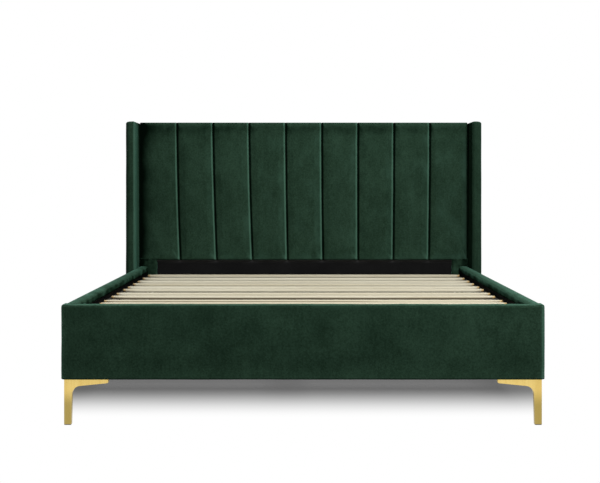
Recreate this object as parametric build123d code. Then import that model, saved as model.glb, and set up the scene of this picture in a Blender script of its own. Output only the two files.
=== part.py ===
from build123d import *
import os

# Upholstered double bed with a winged, channelled headboard, in millimetres.
# X runs across the bed, +Y towards the headboard, +Z up from the floor.
# The origin is on the floor, under the middle of the bed's box.

# Mattress, and the room left round it
mattress_width = 1524.0
mattress_length = 2032.0
mattress_side_gap = 3.0
mattress_end_gap = 6.5

# Heights above the floor
base_bottom = 153.0
base_height = 249.5
headboard_top = 1110.0
channel_lift = 34.5
slat_drop = 37.5

# Cloth and foam
cloth = 2.0
seat_gap = 0.3

# Side rails
rail_outer_pad = 12.0
rail_board_thickness = 25.0
rail_inner_pad = 8.0
rail_top_pad = 12.0
rail_roll_radius = 10.0
rail_end_radius = 14.0
rail_hem_radius = 3.0
lip_depth = 30.5
lining = 1.0

# Footboard
footboard_front_pad = 14.0
footboard_board_thickness = 36.0
footboard_inner_pad = 10.0
footboard_end_pad = 10.0
footboard_top_pad = 12.0
footboard_corner_radius = 9.0
footboard_edge_radius = 9.0
footboard_hem_radius = 4.0

# Headboard
back_cloth = 1.0
frame_depth = 40.0
front_board = 5.0
channel_depth = 24.0
channel_side_depth = 9.0
channel_shoulder = 22.0
channel_shoulder_depth = 12.0
channel_seam_gap = 1.0
channel_top_pad = 8.0
channel_top_roll = 20.0
channel_bottom_roll = 12.0
channel_bottom_tuck = 10.0
channel_notch = 6.0
channel_count = 9
seam_spread_share = 0.99
stile_width = 86.0
top_rail_height = 60.0
middle_rail_height = 70.0
bottom_rail_height = 197.0
post_pad = 20.0
post_edge_radius = 8.0

# Seams lean a little from top to bottom, as shares of the channel pitch
seam_lean_shares = (0.11, 0.125, 0.105, 0.085, 0.055, 0.03, 0.01, -0.045)

# Wings
wing_gap = 1.0
wing_board_thickness = 21.0
wing_pad = 12.0
wing_forward_length = 180.0
wing_front_radius = 14.0
wing_top_radius = 10.0
wing_back_radius = 4.0

# Slats, bearers and webbing
slat_count = 12
slat_width = 68.0
slat_thickness = 9.0
slat_end_gap = 12.0
slat_tip = 78.0
slat_edge_radius = 2.5
first_slat_setback = 147.0
last_slat_setback = 105.0
bearer_width = 32.0
bearer_height = 40.0
bearer_end_gap = 10.0
tape_width = 22.0
tape_thickness = 1.2
tape_inset = 12.0

# Slats as found: each one's slip towards the foot, as a share of the slat pitch
slat_slip_shares = (-0.4, -0.14, 0.01, 0.02, 0.11, -0.03, 0.18, 0.04, 0.23, -0.12, -0.01, -0.03)

# Centre beam, its hangers, and the centre leg with its levelling foot
beam_width = 60.0
beam_height = 70.0
hanger_thickness = 3.0
hanger_shelf = 50.0
hanger_drop = 60.0
centre_leg_radius = 20.0
centre_leg_plate_length = 100.0
stem_radius = 5.0
stem_clearance = 0.08
stem_engagement = 50.0
stem_end_gap = 20.0
foot_pad_radius = 24.0
foot_pad_height = 9.0
foot_pad_bevel = 2.0
foot_collar_across = 17.0
foot_collar_height = 7.0

# Corner brackets
bracket_thickness = 3.0
bracket_flange = 45.0
bracket_drop = 20.0
bracket_lift = 32.8
bracket_bolt_shares = (0.25, 0.75)

# Corner legs: an upright with an arm under the base
leg_inset = 8.6
leg_setback = 12.0
leg_depth = 22.0
leg_arm_length = 148.0
leg_arm_tip = 12.8
leg_arm_root = 24.8
leg_knee_width = 27.0
leg_knee_radius = 29.0
leg_foot_width = 23.6
leg_tip_radius = 5.0
leg_outer_radius = 1.5
leg_edge_radius = 1.0
glide_height = 2.0
glide_inset = 1.0

# Fasteners
screw_radius = 2.25
screw_length = 35.0
screw_head_radius = 4.5
screw_head_height = 2.5
bolt_radius = 4.0
bracket_bolt_length = 24.0
bolt_head_radius = 7.0
bolt_head_height = 4.0
hole_clearance = 0.15
hole_overrun = 2.0
counterbore_clearance = 1.0
leg_web = 8.0
bearer_counterbore = 8.0
wing_bolt_bite = 15.0
wing_bolt_shares = (0.24, 0.6, 0.88)
leg_screw_shares = (0.26, 0.6, 0.78)
plate_screw_share = 0.35
hanger_screw_share = 0.6
hanger_spread_share = 0.3

# Places across the bed
recess_half = mattress_width / 2 + mattress_side_gap
board_inner_x = recess_half + rail_inner_pad
board_outer_x = board_inner_x + rail_board_thickness
base_half = board_outer_x + rail_outer_pad
lining_x = board_inner_x - lining
bearer_inner_x = lining_x - bearer_width
wing_inner_x = base_half + wing_gap
wing_outer_x = wing_inner_x + 2 * wing_pad + wing_board_thickness
post_inner_x = wing_inner_x - stile_width
slat_half = lining_x - slat_end_gap
channel_pitch = 2 * wing_inner_x / channel_count * seam_spread_share

# Places along the bed
recess_length = mattress_length + 2 * mattress_end_gap
footboard_thickness = footboard_front_pad + footboard_board_thickness + footboard_inner_pad
headboard_depth = channel_depth + front_board + frame_depth + back_cloth
total_length = footboard_thickness + recess_length + headboard_depth
foot_y = -total_length / 2
foot_board_y = foot_y + footboard_front_pad
rail_foot_y = foot_board_y + footboard_board_thickness
recess_foot_y = foot_y + footboard_thickness
crown_y = recess_foot_y + recess_length
front_board_y = crown_y + channel_depth
frame_y = front_board_y + front_board
back_cloth_y = frame_y + frame_depth
back_y = back_cloth_y + back_cloth
rail_head_y = front_board_y - post_pad
foot_lining_y = rail_foot_y + lining
head_lining_y = front_board_y - lining
centre_leg_y = recess_foot_y + recess_length / 2
slat_pitch = (recess_length - first_slat_setback - last_slat_setback) / (slat_count - 1)

# Heights
base_top = base_bottom + base_height
channel_bottom = base_top + channel_lift
slat_top = base_top - slat_drop
board_bottom = base_bottom + cloth
rail_board_top = base_top - rail_top_pad
lip_bottom = base_top - lip_depth
slat_bottom = slat_top - slat_thickness
bearer_top = slat_bottom - tape_thickness
bearer_bottom = bearer_top - bearer_height
beam_bottom = slat_bottom - beam_height
frame_top = headboard_top - channel_top_pad
middle_rail_bottom = channel_bottom - middle_rail_height / 2
bottom_rail_top = base_bottom + bottom_rail_height
collar_top = foot_pad_height + foot_collar_height
bracket_top = bearer_bottom - bracket_drop
bracket_bottom = base_bottom + bracket_lift
plate_bottom = beam_bottom - hanger_thickness

pieces = {}


def keep(node, *solids):
    """Name a piece; a group keeps its separate solids under one name."""
    pieces[node] = list(solids)


def block(x_span, y_span, z_span):
    """Box between two corners, given as a span along each axis."""
    x0, x1 = sorted(x_span)
    y0, y1 = sorted(y_span)
    z0, z1 = sorted(z_span)
    middle = Pos((x0 + x1) / 2, (y0 + y1) / 2, (z0 + z1) / 2)
    return middle * Box(x1 - x0, y1 - y0, z1 - z0)


def near(edges, axis, place):
    """Edges whose middle lies at a place along an axis."""
    picked = []
    for edge in edges:
        middle = edge.center()
        value = {Axis.X: middle.X, Axis.Y: middle.Y, Axis.Z: middle.Z}[axis]
        if abs(value - place) < seat_gap:
            picked.append(edge)
    return picked


def rounded(solid, direction, radius, axis, place, second_axis=None, second_place=None):
    """Round the edges that run along a direction at one or two places."""
    edges = near(solid.edges().filter_by(direction), axis, place)
    if second_axis is not None:
        edges = near(edges, second_axis, second_place)
    return fillet(edges, radius)


def rod(seat, direction, radius, start, end):
    """Round bar along a direction, measured from a seat."""
    plane = Plane(origin=seat, z_dir=direction)
    return plane * Pos(0, 0, (start + end) / 2) * Cylinder(radius, end - start)


def screw(seat, direction):
    """Wood screw whose head sits on the seat and whose shank runs along the direction."""
    shank = rod(seat, direction, screw_radius, 0, screw_length)
    return shank + rod(seat, direction, screw_head_radius, -screw_head_height, 0)


def bolt(seat, direction, length):
    """Frame bolt with a low round head."""
    shank = rod(seat, direction, bolt_radius, 0, length)
    return shank + rod(seat, direction, bolt_head_radius, -bolt_head_height, 0)


def screw_holes(piece, fixings):
    """Cut the screws' pilot holes into a piece."""
    for seat, direction in fixings:
        depth = screw_length + hole_overrun
        piece = piece - rod(seat, direction, screw_radius + hole_clearance, 0, depth)
    return piece


def bolt_holes(piece, fixings):
    """Cut the bolts' holes into a piece."""
    for seat, direction, length in fixings:
        depth = length + hole_overrun
        piece = piece - rod(seat, direction, bolt_radius + hole_clearance, 0, depth)
    return piece


def head_pockets(piece, fixings, depth):
    """Counterbore a piece from outside down to each screw's seat."""
    pocket_radius = screw_head_radius + counterbore_clearance
    for seat, direction in fixings:
        piece = piece - rod(seat, direction, pocket_radius, -depth, 0)
    return piece


# Fixing places, shared by the pieces that each fastener joins
sides = {"left": -1, "right": 1}
ends = {"front": -1, "rear": 1}
along_x = {"left": (-1, 0, 0), "right": (1, 0, 0)}
up = (0, 0, 1)
headward = (0, 1, 0)
footward = (0, -1, 0)

bearer_length = rail_head_y - bearer_end_gap - (foot_lining_y + bearer_end_gap)
bearer_screw_count = 6
bearer_screw_pitch = bearer_length / bearer_screw_count
bearer_middle_z = (bearer_top + bearer_bottom) / 2


def bearer_screws(side):
    """Screws through a slat bearer into its rail."""
    seat_x = sides[side] * (bearer_inner_x + bearer_counterbore)
    first_y = foot_lining_y + bearer_end_gap + bearer_screw_pitch / 2
    places = [first_y + number * bearer_screw_pitch for number in range(bearer_screw_count)]
    return [((seat_x, y, bearer_middle_z), along_x[side]) for y in places]


def bracket_bolts(side, end):
    """Four bolts of a corner bracket: two into the rail, two into the board across."""
    sign = sides[side]
    rail_seat_x = sign * (lining_x - bracket_thickness)
    flange_seat_x = sign * (lining_x - bracket_flange / 2)
    if end == "front":
        rail_seat_y = foot_lining_y + bracket_flange / 2
        board_seat_y = foot_lining_y + bracket_thickness
        across = footward
    else:
        rail_seat_y = rail_head_y - bracket_flange / 2
        board_seat_y = front_board_y - bracket_thickness
        across = headward
    height = bracket_top - bracket_bottom
    heights = [bracket_bottom + height * share for share in bracket_bolt_shares]
    into_rail = [((rail_seat_x, rail_seat_y, z), along_x[side], bracket_bolt_length)
                 for z in heights]
    into_board = [((flange_seat_x, board_seat_y, z), across, bracket_bolt_length)
                  for z in heights]
    return into_rail, into_board


def wing_bolts(side):
    """Bolts from inside the headboard, through the stile, into the wing's board."""
    seat = (sides[side] * post_inner_x, frame_y + frame_depth / 2)
    length = stile_width + wing_gap + wing_pad + wing_bolt_bite
    span = headboard_top - base_bottom
    heights = [base_bottom + span * share for share in wing_bolt_shares]
    return [((*seat, z), along_x[side], length) for z in heights]


def leg_screws(side, end):
    """Screws up through a corner leg's arm into the base."""
    sign = sides[side]
    outer_x = base_half - leg_inset
    y = leg_middle_y[end]
    seat_z = base_bottom - leg_web
    places = [sign * (outer_x - leg_arm_length * share) for share in leg_screw_shares]
    return [((x, y, seat_z), up) for x in places]


def centre_leg_screws():
    """Screws up through the centre leg's plate into the beam."""
    reach = centre_leg_plate_length * plate_screw_share
    places = (centre_leg_y - reach, centre_leg_y + reach)
    return [((0, y, plate_bottom), up) for y in places]


def hanger_screws(end):
    """Screws of a beam hanger: two into the board behind it, one up into the beam."""
    if end == "front":
        face_y, inward, across = foot_lining_y, 1, footward
    else:
        face_y, inward, across = head_lining_y, -1, headward
    plate_y = face_y + inward * hanger_thickness
    spread = beam_width * hanger_spread_share
    drop_z = beam_bottom - hanger_drop * hanger_screw_share
    into_board = [((sign * spread, plate_y, drop_z), across) for sign in (-1, 1)]
    shelf_y = face_y + inward * hanger_shelf * hanger_screw_share
    into_beam = [((0, shelf_y, plate_bottom), up)]
    return into_board, into_beam


leg_middle_y = {
    "front": foot_y + leg_setback + leg_depth / 2,
    "rear": back_cloth_y - frame_depth / 2,
}
front_hanger = hanger_screws("front")
rear_hanger = hanger_screws("rear")


def footboard():
    """Board across the foot of the bed, padded in front, over the top and just inside."""
    board = block((-base_half + footboard_end_pad, base_half - footboard_end_pad),
                  (foot_board_y, rail_foot_y),
                  (board_bottom, base_top - footboard_top_pad))
    cover = block((-base_half, base_half), (foot_y, recess_foot_y), (base_bottom, base_top))
    for corner_x in (-base_half, base_half):
        cover = rounded(cover, Axis.Z, footboard_corner_radius, Axis.X, corner_x, Axis.Y, foot_y)
    top_front = near(cover.edges(), Axis.Z, base_top)
    top_front = [edge for edge in top_front if edge.center().Y < recess_foot_y - seat_gap]
    cover = fillet(top_front, footboard_edge_radius)
    cover = rounded(cover, Axis.X, footboard_hem_radius, Axis.Y, foot_y, Axis.Z, base_bottom)
    cover = rounded(cover, Axis.X, footboard_edge_radius, Axis.Y, recess_foot_y, Axis.Z, base_top)
    cover = cover - board
    below_lip = block((-base_half, base_half), (rail_foot_y, recess_foot_y),
                      (base_bottom, lip_bottom))
    cover = cover - below_lip
    for sign in (-1, 1):
        behind_rail = block((sign * recess_half, sign * base_half), (rail_foot_y, recess_foot_y),
                            (base_bottom, base_top))
        cover = cover - behind_rail
    for side in sides:
        board = screw_holes(board, leg_screws(side, "front"))
        board = bolt_holes(board, bracket_bolts(side, "front")[1])
        cover = screw_holes(cover, leg_screws(side, "front"))
    board = screw_holes(board, front_hanger[0])
    keep("footboard_board", board)
    keep("footboard_cover", cover)


def side_rail(side):
    """Board along one side, with its padded cover turned over the top and just inside."""
    sign = sides[side]
    length = (rail_foot_y, rail_head_y)
    board = block((sign * board_inner_x, sign * board_outer_x), length,
                  (board_bottom, rail_board_top))
    cover = block((sign * recess_half, sign * base_half), length, (base_bottom, base_top))
    for x in (sign * base_half, sign * recess_half):
        cover = rounded(cover, Axis.Z, rail_end_radius, Axis.X, x, Axis.Y, rail_head_y)
    rim = near(cover.edges(), Axis.Z, base_top)
    rim = [edge for edge in rim if edge.center().Y > rail_foot_y + seat_gap]
    cover = fillet(rim, rail_roll_radius)
    cover = rounded(cover, Axis.Y, rail_hem_radius, Axis.X, sign * base_half, Axis.Z, base_bottom)
    cover = cover - board
    cover = cover - block((sign * recess_half, sign * board_inner_x), length,
                          (base_bottom, lip_bottom))
    fixings = [item for end in ends for item in bracket_bolts(side, end)[0]]
    board = bolt_holes(board, fixings)
    board = screw_holes(board, bearer_screws(side))
    keep(f"rail_board_{side}", board)
    keep(f"rail_cover_{side}", cover)


def base_linings():
    """Black lining cloth on the inner faces of the two rails and the footboard."""
    linings = []
    for side in sides:
        sign = sides[side]
        sheet = block((sign * lining_x, sign * board_inner_x), (rail_foot_y, rail_head_y),
                      (board_bottom, lip_bottom))
        fixings = [item for end in ends for item in bracket_bolts(side, end)[0]]
        sheet = bolt_holes(sheet, fixings)
        linings.append(screw_holes(sheet, bearer_screws(side)))
    sheet = block((-lining_x, lining_x), (rail_foot_y, foot_lining_y), (board_bottom, lip_bottom))
    for side in sides:
        sheet = bolt_holes(sheet, bracket_bolts(side, "front")[1])
    linings.append(screw_holes(sheet, front_hanger[0]))
    keep("base_linings", *linings)


def slat_bearer(side):
    """Softwood strip screwed along a rail, which carries the slats' ends."""
    sign = sides[side]
    strip = block((sign * bearer_inner_x, sign * lining_x),
                  (foot_lining_y + bearer_end_gap, rail_head_y - bearer_end_gap),
                  (bearer_bottom, bearer_top))
    strip = screw_holes(strip, bearer_screws(side))
    strip = head_pockets(strip, bearer_screws(side), bearer_counterbore + hole_overrun)
    keep(f"slat_bearer_{side}", strip)


def slat(number):
    """Flat softwood slat with eased edges and drawn-in, rounded ends."""
    straight = 2 * (slat_half - slat_tip)
    outline = Rectangle(straight, slat_width)
    for sign in (-1, 1):
        outline = outline + Pos(sign * straight / 2, 0) * Ellipse(slat_tip, slat_width / 2)
    plank = extrude(outline, slat_thickness)
    plank = fillet(plank.edges().filter_by(Axis.Z, reverse=True), slat_edge_radius)
    slip_share = slat_slip_shares[number % len(slat_slip_shares)]
    setback = first_slat_setback + slat_pitch * (number + slip_share)
    return Pos(0, crown_y - setback, slat_bottom) * plank


def slats():
    """All the slats, and the two webbing tapes that space them."""
    for number in range(slat_count):
        keep(f"slat_{number + 1:02d}", slat(number))
    tapes = []
    tape_outer_x = slat_half - tape_inset
    tape_span = (foot_lining_y + 2 * bearer_end_gap, rail_head_y - 2 * bearer_end_gap)
    for sign in (-1, 1):
        tapes.append(block((sign * (tape_outer_x - tape_width), sign * tape_outer_x), tape_span,
                           (bearer_top, slat_bottom)))
    keep("slat_tapes", *tapes)


def channel_outline(left, right, height):
    """Plan section of one channel: flat back, shoulders and a slight crown in front."""
    side_y = front_board_y - channel_side_depth
    shoulder_y = side_y - channel_shoulder_depth
    crest_share = 0.3
    bulge_share = 0.72
    inner_left = left + channel_shoulder
    inner_right = right - channel_shoulder
    bulge_y = side_y - channel_shoulder_depth * bulge_share
    line = Polyline((left, side_y), (left, front_board_y), (right, front_board_y),
                    (right, side_y))
    right_shoulder = ThreePointArc((right, side_y),
                                   (right - channel_shoulder * crest_share, bulge_y),
                                   (inner_right, shoulder_y))
    crown = ThreePointArc((inner_right, shoulder_y), ((left + right) / 2, crown_y),
                          (inner_left, shoulder_y))
    left_shoulder = ThreePointArc((inner_left, shoulder_y),
                                  (left + channel_shoulder * crest_share, bulge_y),
                                  (left, side_y))
    face = make_face([*line.edges(), right_shoulder, crown, left_shoulder])
    return Pos(0, 0, height) * face


def channel_side_view():
    """Side section that rounds a channel over its top and under its foot."""
    top_start = headboard_top - channel_top_roll
    foot_start = channel_bottom + channel_bottom_roll
    mid_share = 0.7
    top_arc = ThreePointArc(
        (crown_y, top_start),
        (crown_y + channel_depth * (1 - mid_share), top_start + channel_top_roll * mid_share),
        (front_board_y, headboard_top))
    foot_arc = ThreePointArc(
        (front_board_y - channel_bottom_tuck, channel_bottom),
        (crown_y + (channel_depth - channel_bottom_tuck) * (1 - mid_share),
         foot_start - channel_bottom_roll * mid_share),
        (crown_y, foot_start))
    line = Polyline((front_board_y, headboard_top), (front_board_y, channel_bottom),
                    (front_board_y - channel_bottom_tuck, channel_bottom))
    rise = Line((crown_y, foot_start), (crown_y, top_start))
    return make_face([*line.edges(), foot_arc, rise, top_arc])


def seam_places():
    """Seam positions across the headboard at the top and at the foot of the channels."""
    middle = channel_count / 2
    tops = [-wing_inner_x]
    feet = [-wing_inner_x]
    for number in range(1, channel_count):
        top = channel_pitch * (number - middle)
        tops.append(top)
        lean_share = seam_lean_shares[(number - 1) % len(seam_lean_shares)]
        feet.append(top + channel_pitch * lean_share)
    return tops + [wing_inner_x], feet + [wing_inner_x]


def channels():
    """Channel pads: foam rolls between the seams, each turned over the headboard's top."""
    tops, feet = seam_places()
    side_view = extrude(Plane.YZ * channel_side_view(), wing_outer_x, both=True)
    gap = channel_seam_gap / 2
    for number in range(channel_count):
        foot = channel_outline(feet[number] + gap, feet[number + 1] - gap, channel_bottom)
        head = channel_outline(tops[number] + gap, tops[number + 1] - gap, headboard_top)
        roll = loft([foot, head], ruled=True) & side_view
        left, right = tops[number] + gap, tops[number + 1] - gap
        turn_over = block((left, right), (front_board_y, back_cloth_y), (frame_top, headboard_top))
        for x in (left, right):
            turn_over = rounded(turn_over, Axis.Y, channel_notch, Axis.X, x, Axis.Z, headboard_top)
        keep(f"channel_pad_{number + 1}", roll + turn_over)


def headboard_frame():
    """Stiles and rails of the headboard, with the thin board across the front."""
    depth = (frame_y, back_cloth_y)
    for side in sides:
        sign = sides[side]
        stile = block((sign * post_inner_x, sign * wing_inner_x), depth, (base_bottom, frame_top))
        stile = bolt_holes(stile, wing_bolts(side))
        stile = bolt_holes(stile, bracket_bolts(side, "rear")[1])
        keep(f"headboard_stile_{side}", screw_holes(stile, leg_screws(side, "rear")[:1]))
    across = (-post_inner_x, post_inner_x)
    keep("headboard_top_rail", block(across, depth, (frame_top - top_rail_height, frame_top)))
    keep("headboard_middle_rail",
         block(across, depth, (middle_rail_bottom, middle_rail_bottom + middle_rail_height)))
    bottom_rail = block(across, depth, (base_bottom, bottom_rail_top))
    bottom_rail = screw_holes(bottom_rail, rear_hanger[0])
    for side in sides:
        bottom_rail = screw_holes(bottom_rail, leg_screws(side, "rear")[1:])
    keep("headboard_bottom_rail", bottom_rail)
    board = block((-wing_inner_x, wing_inner_x), (front_board_y, frame_y),
                  (base_bottom, frame_top))
    board = screw_holes(board, rear_hanger[0])
    for side in sides:
        board = bolt_holes(board, bracket_bolts(side, "rear")[1])
    keep("headboard_front_board", board)
    keep("headboard_back_cover",
         block((-wing_inner_x, wing_inner_x), (back_cloth_y, back_y), (board_bottom, frame_top)))


def headboard_lower_part():
    """Padded posts beside the rails, and the black lining between them."""
    for side in sides:
        sign = sides[side]
        post = block((sign * post_inner_x, sign * wing_inner_x), (rail_head_y, front_board_y),
                     (base_bottom, channel_bottom - seat_gap))
        post = rounded(post, Axis.Z, post_edge_radius, Axis.X, sign * post_inner_x,
                       Axis.Y, rail_head_y)
        bracket_room = block((sign * post_inner_x, sign * lining_x), (rail_head_y, front_board_y),
                             (bracket_bottom - bracket_drop, bracket_top + bracket_drop))
        keep(f"headboard_post_cover_{side}", post - bracket_room)
    sheet = block((-post_inner_x + seat_gap, post_inner_x - seat_gap),
                  (head_lining_y, front_board_y), (board_bottom, channel_bottom - seat_gap))
    keep("headboard_lower_lining", screw_holes(sheet, rear_hanger[0]))


def wing(side):
    """Padded wing: a board inside a velvet cover that is open underneath."""
    sign = sides[side]
    front_y = crown_y - wing_forward_length
    board_x = wing_inner_x + wing_pad
    board = block((sign * board_x, sign * (board_x + wing_board_thickness)),
                  (front_y + wing_pad, back_y - cloth),
                  (base_bottom, headboard_top - wing_pad))
    cover = block((sign * wing_inner_x, sign * wing_outer_x), (front_y, back_y),
                  (base_bottom, headboard_top))
    for x in (sign * wing_inner_x, sign * wing_outer_x):
        cover = rounded(cover, Axis.Z, wing_front_radius, Axis.X, x, Axis.Y, front_y)
    cover = rounded(cover, Axis.Z, wing_back_radius, Axis.X, sign * wing_outer_x, Axis.Y, back_y)
    rim = near(cover.edges(), Axis.Z, headboard_top)
    cover = fillet(rim, wing_top_radius)
    cover = cover - board
    keep(f"wing_board_{side}", bolt_holes(board, wing_bolts(side)))
    keep(f"wing_cover_{side}", bolt_holes(cover, wing_bolts(side)))


def corner_bracket(side, end):
    """Steel angle that joins a rail to the footboard or to the headboard."""
    sign = sides[side]
    height = (bracket_bottom, bracket_top)
    inner_x = sign * (lining_x - bracket_flange)
    if end == "front":
        board_face, rail_reach, inward = foot_lining_y, foot_lining_y + bracket_flange, 1
    else:
        board_face, rail_reach, inward = front_board_y, rail_head_y - bracket_flange, -1
    rail_flange = block((sign * (lining_x - bracket_thickness), sign * lining_x),
                        (board_face, rail_reach), height)
    board_flange = block((inner_x, sign * lining_x),
                         (board_face, board_face + inward * bracket_thickness), height)
    into_rail, into_board = bracket_bolts(side, end)
    angle = rail_flange + board_flange
    for seat, direction, length in into_rail + into_board:
        reach = bracket_thickness + hole_overrun
        angle = angle - rod(seat, direction, bolt_radius + hole_clearance, -reach, reach)
    return angle


def beam_hanger(end):
    """Steel angle under one end of the centre beam."""
    into_board, into_beam = hanger_screws(end)
    if end == "front":
        face_y, inward = foot_lining_y, 1
    else:
        face_y, inward = head_lining_y, -1
    half = beam_width / 2
    plate = block((-half, half), (face_y, face_y + inward * hanger_thickness),
                  (beam_bottom - hanger_drop, beam_bottom))
    shelf = block((-half, half), (face_y, face_y + inward * hanger_shelf),
                  (plate_bottom, beam_bottom))
    return screw_holes(plate + shelf, into_board + into_beam)


def centre_beam():
    """Beam under the slats and the hangers that carry its ends."""
    beam = block((-beam_width / 2, beam_width / 2), (foot_lining_y, head_lining_y),
                 (beam_bottom, slat_bottom))
    keep("centre_beam", screw_holes(beam, front_hanger[1] + rear_hanger[1] + centre_leg_screws()))
    keep("beam_hangers", *[beam_hanger(end) for end in ends])


def centre_leg():
    """Leg under the middle of the beam, with a foot that screws up into it."""
    leg_bottom = collar_top + seat_gap
    plate = block((-beam_width / 2, beam_width / 2),
                  (centre_leg_y - centre_leg_plate_length / 2,
                   centre_leg_y + centre_leg_plate_length / 2),
                  (plate_bottom, beam_bottom))
    seat = (0, centre_leg_y, leg_bottom)
    column = rod(seat, up, centre_leg_radius, 0, plate_bottom - leg_bottom)
    bore = rod(seat, up, stem_radius + stem_clearance, 0, stem_engagement + stem_end_gap)
    keep("centre_leg", screw_holes(plate + column - bore, centre_leg_screws()))
    pad = rod((0, centre_leg_y, 0), up, foot_pad_radius, 0, foot_pad_height)
    pad = chamfer(near(pad.edges(), Axis.Z, foot_pad_height), foot_pad_bevel)
    hexagon = RegularPolygon(foot_collar_across / 2, 6, major_radius=False)
    collar = Pos(0, centre_leg_y, foot_pad_height) * extrude(hexagon, foot_collar_height)
    stem = rod((0, centre_leg_y, collar_top), up, stem_radius, 0, seat_gap + stem_engagement)
    keep("levelling_pad", pad)
    keep("levelling_stem", collar + stem)


def corner_leg(side, end):
    """Metal leg: an upright at the outer corner and an arm towards the middle."""
    sign = sides[side]
    leg_height = base_bottom - glide_height
    profile = Polyline((0, 0), (leg_arm_length, 0), (leg_arm_length, -leg_arm_tip),
                       (leg_knee_width, -leg_arm_root), (leg_foot_width, -leg_height),
                       (0, -leg_height), close=True)
    face = make_face(profile.edges())
    corners = face.vertices()
    knee = [v for v in corners if abs(v.X - leg_knee_width) < seat_gap]
    face = fillet(knee, leg_knee_radius)
    tip = [v for v in face.vertices() if abs(v.X - leg_arm_length) < seat_gap
           and v.Y < -seat_gap]
    face = fillet(tip, leg_tip_radius)
    outer = [v for v in face.vertices() if abs(v.X) < seat_gap and abs(v.Y) < seat_gap]
    face = fillet(outer, leg_outer_radius)
    plate = extrude(Plane.XZ * face, leg_depth / 2, both=True)
    shoulder = [edge for edge in plate.edges() if abs(abs(edge.center().Y) - leg_depth / 2)
                < seat_gap and edge.center().Z < -seat_gap]
    plate = fillet(shoulder, leg_edge_radius)
    if side == "right":
        plate = mirror(plate, Plane.YZ)
    outer_x = sign * (base_half - leg_inset)
    return Pos(outer_x, leg_middle_y[end], base_bottom) * plate


def legs():
    """The four corner legs and the glide under each one."""
    glides = []
    for side in sides:
        for end in ends:
            fixings = leg_screws(side, end)
            body = screw_holes(corner_leg(side, end), fixings)
            keep(f"leg_{end}_{side}", head_pockets(body, fixings, base_bottom))
            outer_x = base_half - leg_inset - glide_inset
            inner_x = base_half - leg_inset - leg_foot_width + glide_inset
            half_depth = leg_depth / 2 - glide_inset
            y = leg_middle_y[end]
            glides.append(block((sides[side] * inner_x, sides[side] * outer_x),
                                (y - half_depth, y + half_depth), (0, glide_height)))
    keep("leg_glides", *glides)


def fasteners():
    """Frame bolts and wood screws, each kind grouped under one name."""
    bolts = []
    screws = []
    for side in sides:
        fixings = wing_bolts(side)
        for end in ends:
            into_rail, into_board = bracket_bolts(side, end)
            fixings = fixings + into_rail + into_board
            screws += [screw(*fixing) for fixing in leg_screws(side, end)]
        bolts += [bolt(*fixing) for fixing in fixings]
        screws += [screw(*fixing) for fixing in bearer_screws(side)]
    for fixing in front_hanger[0] + front_hanger[1] + rear_hanger[0] + rear_hanger[1]:
        screws.append(screw(*fixing))
    screws += [screw(*fixing) for fixing in centre_leg_screws()]
    keep("frame_bolts", *bolts)
    keep("wood_screws", *screws)


headboard_frame()
headboard_lower_part()
channels()
footboard()
base_linings()
centre_beam()
centre_leg()
for side_name in sides:
    wing(side_name)
    side_rail(side_name)
    slat_bearer(side_name)
slats()
legs()
keep("corner_brackets", *[corner_bracket(side, end) for side in sides for end in ends])
fasteners()

os.makedirs("parts", exist_ok=True)
for node, solids in pieces.items():
    separate = [solid for piece in solids for solid in piece.solids()]
    shape = separate[0] if len(separate) == 1 else Compound(children=separate)
    export_step(shape, f"parts/{node}.step")
print(len(pieces), "nodes", round(2 * wing_outer_x, 1), "x", round(total_length, 1),
      "x", headboard_top)
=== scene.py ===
import math

import bpy
import numpy as np
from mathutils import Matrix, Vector, noise


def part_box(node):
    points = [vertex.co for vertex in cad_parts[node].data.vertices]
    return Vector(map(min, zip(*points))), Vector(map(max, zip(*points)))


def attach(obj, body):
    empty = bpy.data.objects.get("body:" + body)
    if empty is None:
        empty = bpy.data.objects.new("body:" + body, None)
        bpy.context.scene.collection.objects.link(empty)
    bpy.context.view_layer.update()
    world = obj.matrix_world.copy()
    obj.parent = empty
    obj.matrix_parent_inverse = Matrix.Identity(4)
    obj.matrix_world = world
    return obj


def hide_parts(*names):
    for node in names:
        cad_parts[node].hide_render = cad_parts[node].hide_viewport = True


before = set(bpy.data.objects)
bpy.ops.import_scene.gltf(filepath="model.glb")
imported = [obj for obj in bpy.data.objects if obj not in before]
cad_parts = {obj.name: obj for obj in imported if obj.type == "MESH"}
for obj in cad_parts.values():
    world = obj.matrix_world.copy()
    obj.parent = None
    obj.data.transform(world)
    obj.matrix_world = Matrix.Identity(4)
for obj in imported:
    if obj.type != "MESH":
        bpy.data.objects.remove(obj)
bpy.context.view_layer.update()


# The camera stands level in front of the footboard, a little right of the middle,
# about four and a half metres away.
camera_place = (0.0075, -5.5045, 0.808)
camera_turn = (math.radians(90.0), 0.0, 0.0)
camera_lens = 79.23
camera_shift = (-0.0087, -0.0957)

bpy.ops.object.camera_add(location=camera_place, rotation=camera_turn)
camera = bpy.context.object
camera.name = "camera"
camera.data.lens = camera_lens
camera.data.shift_x, camera.data.shift_y = camera_shift
bpy.context.scene.camera = camera
bpy.context.scene.view_settings.view_transform = "Standard"


# The studio is a white floor and a white background under soft lamps. The floor glows white to
# the eye, as it does in a photographer's white room, except under the bed, where a mask from the
# bed's front edge back past the headboard and out to lines behind the legs shows a painted
# shadow: dim grey, which keeps only a faint part of the real shadow.
floor_radius = 9.0
floor_corners = 96
floor_colour = (0.30, 0.30, 0.30, 1.0)
floor_glow = 0.13
shadow_colour = (0.06, 0.06, 0.06, 1.0)
white_light = (1.0, 1.0, 1.0, 1.0)
background_glow = 1.0
ambient_glow = 0.07
shadow_front = (-0.95, -0.27)
shadow_side = (0.93, 0.99)
shadow_fan = 0.1778
shadow_fan_softness = 0.02
shadow_back = (1.05, 1.35)
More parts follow.
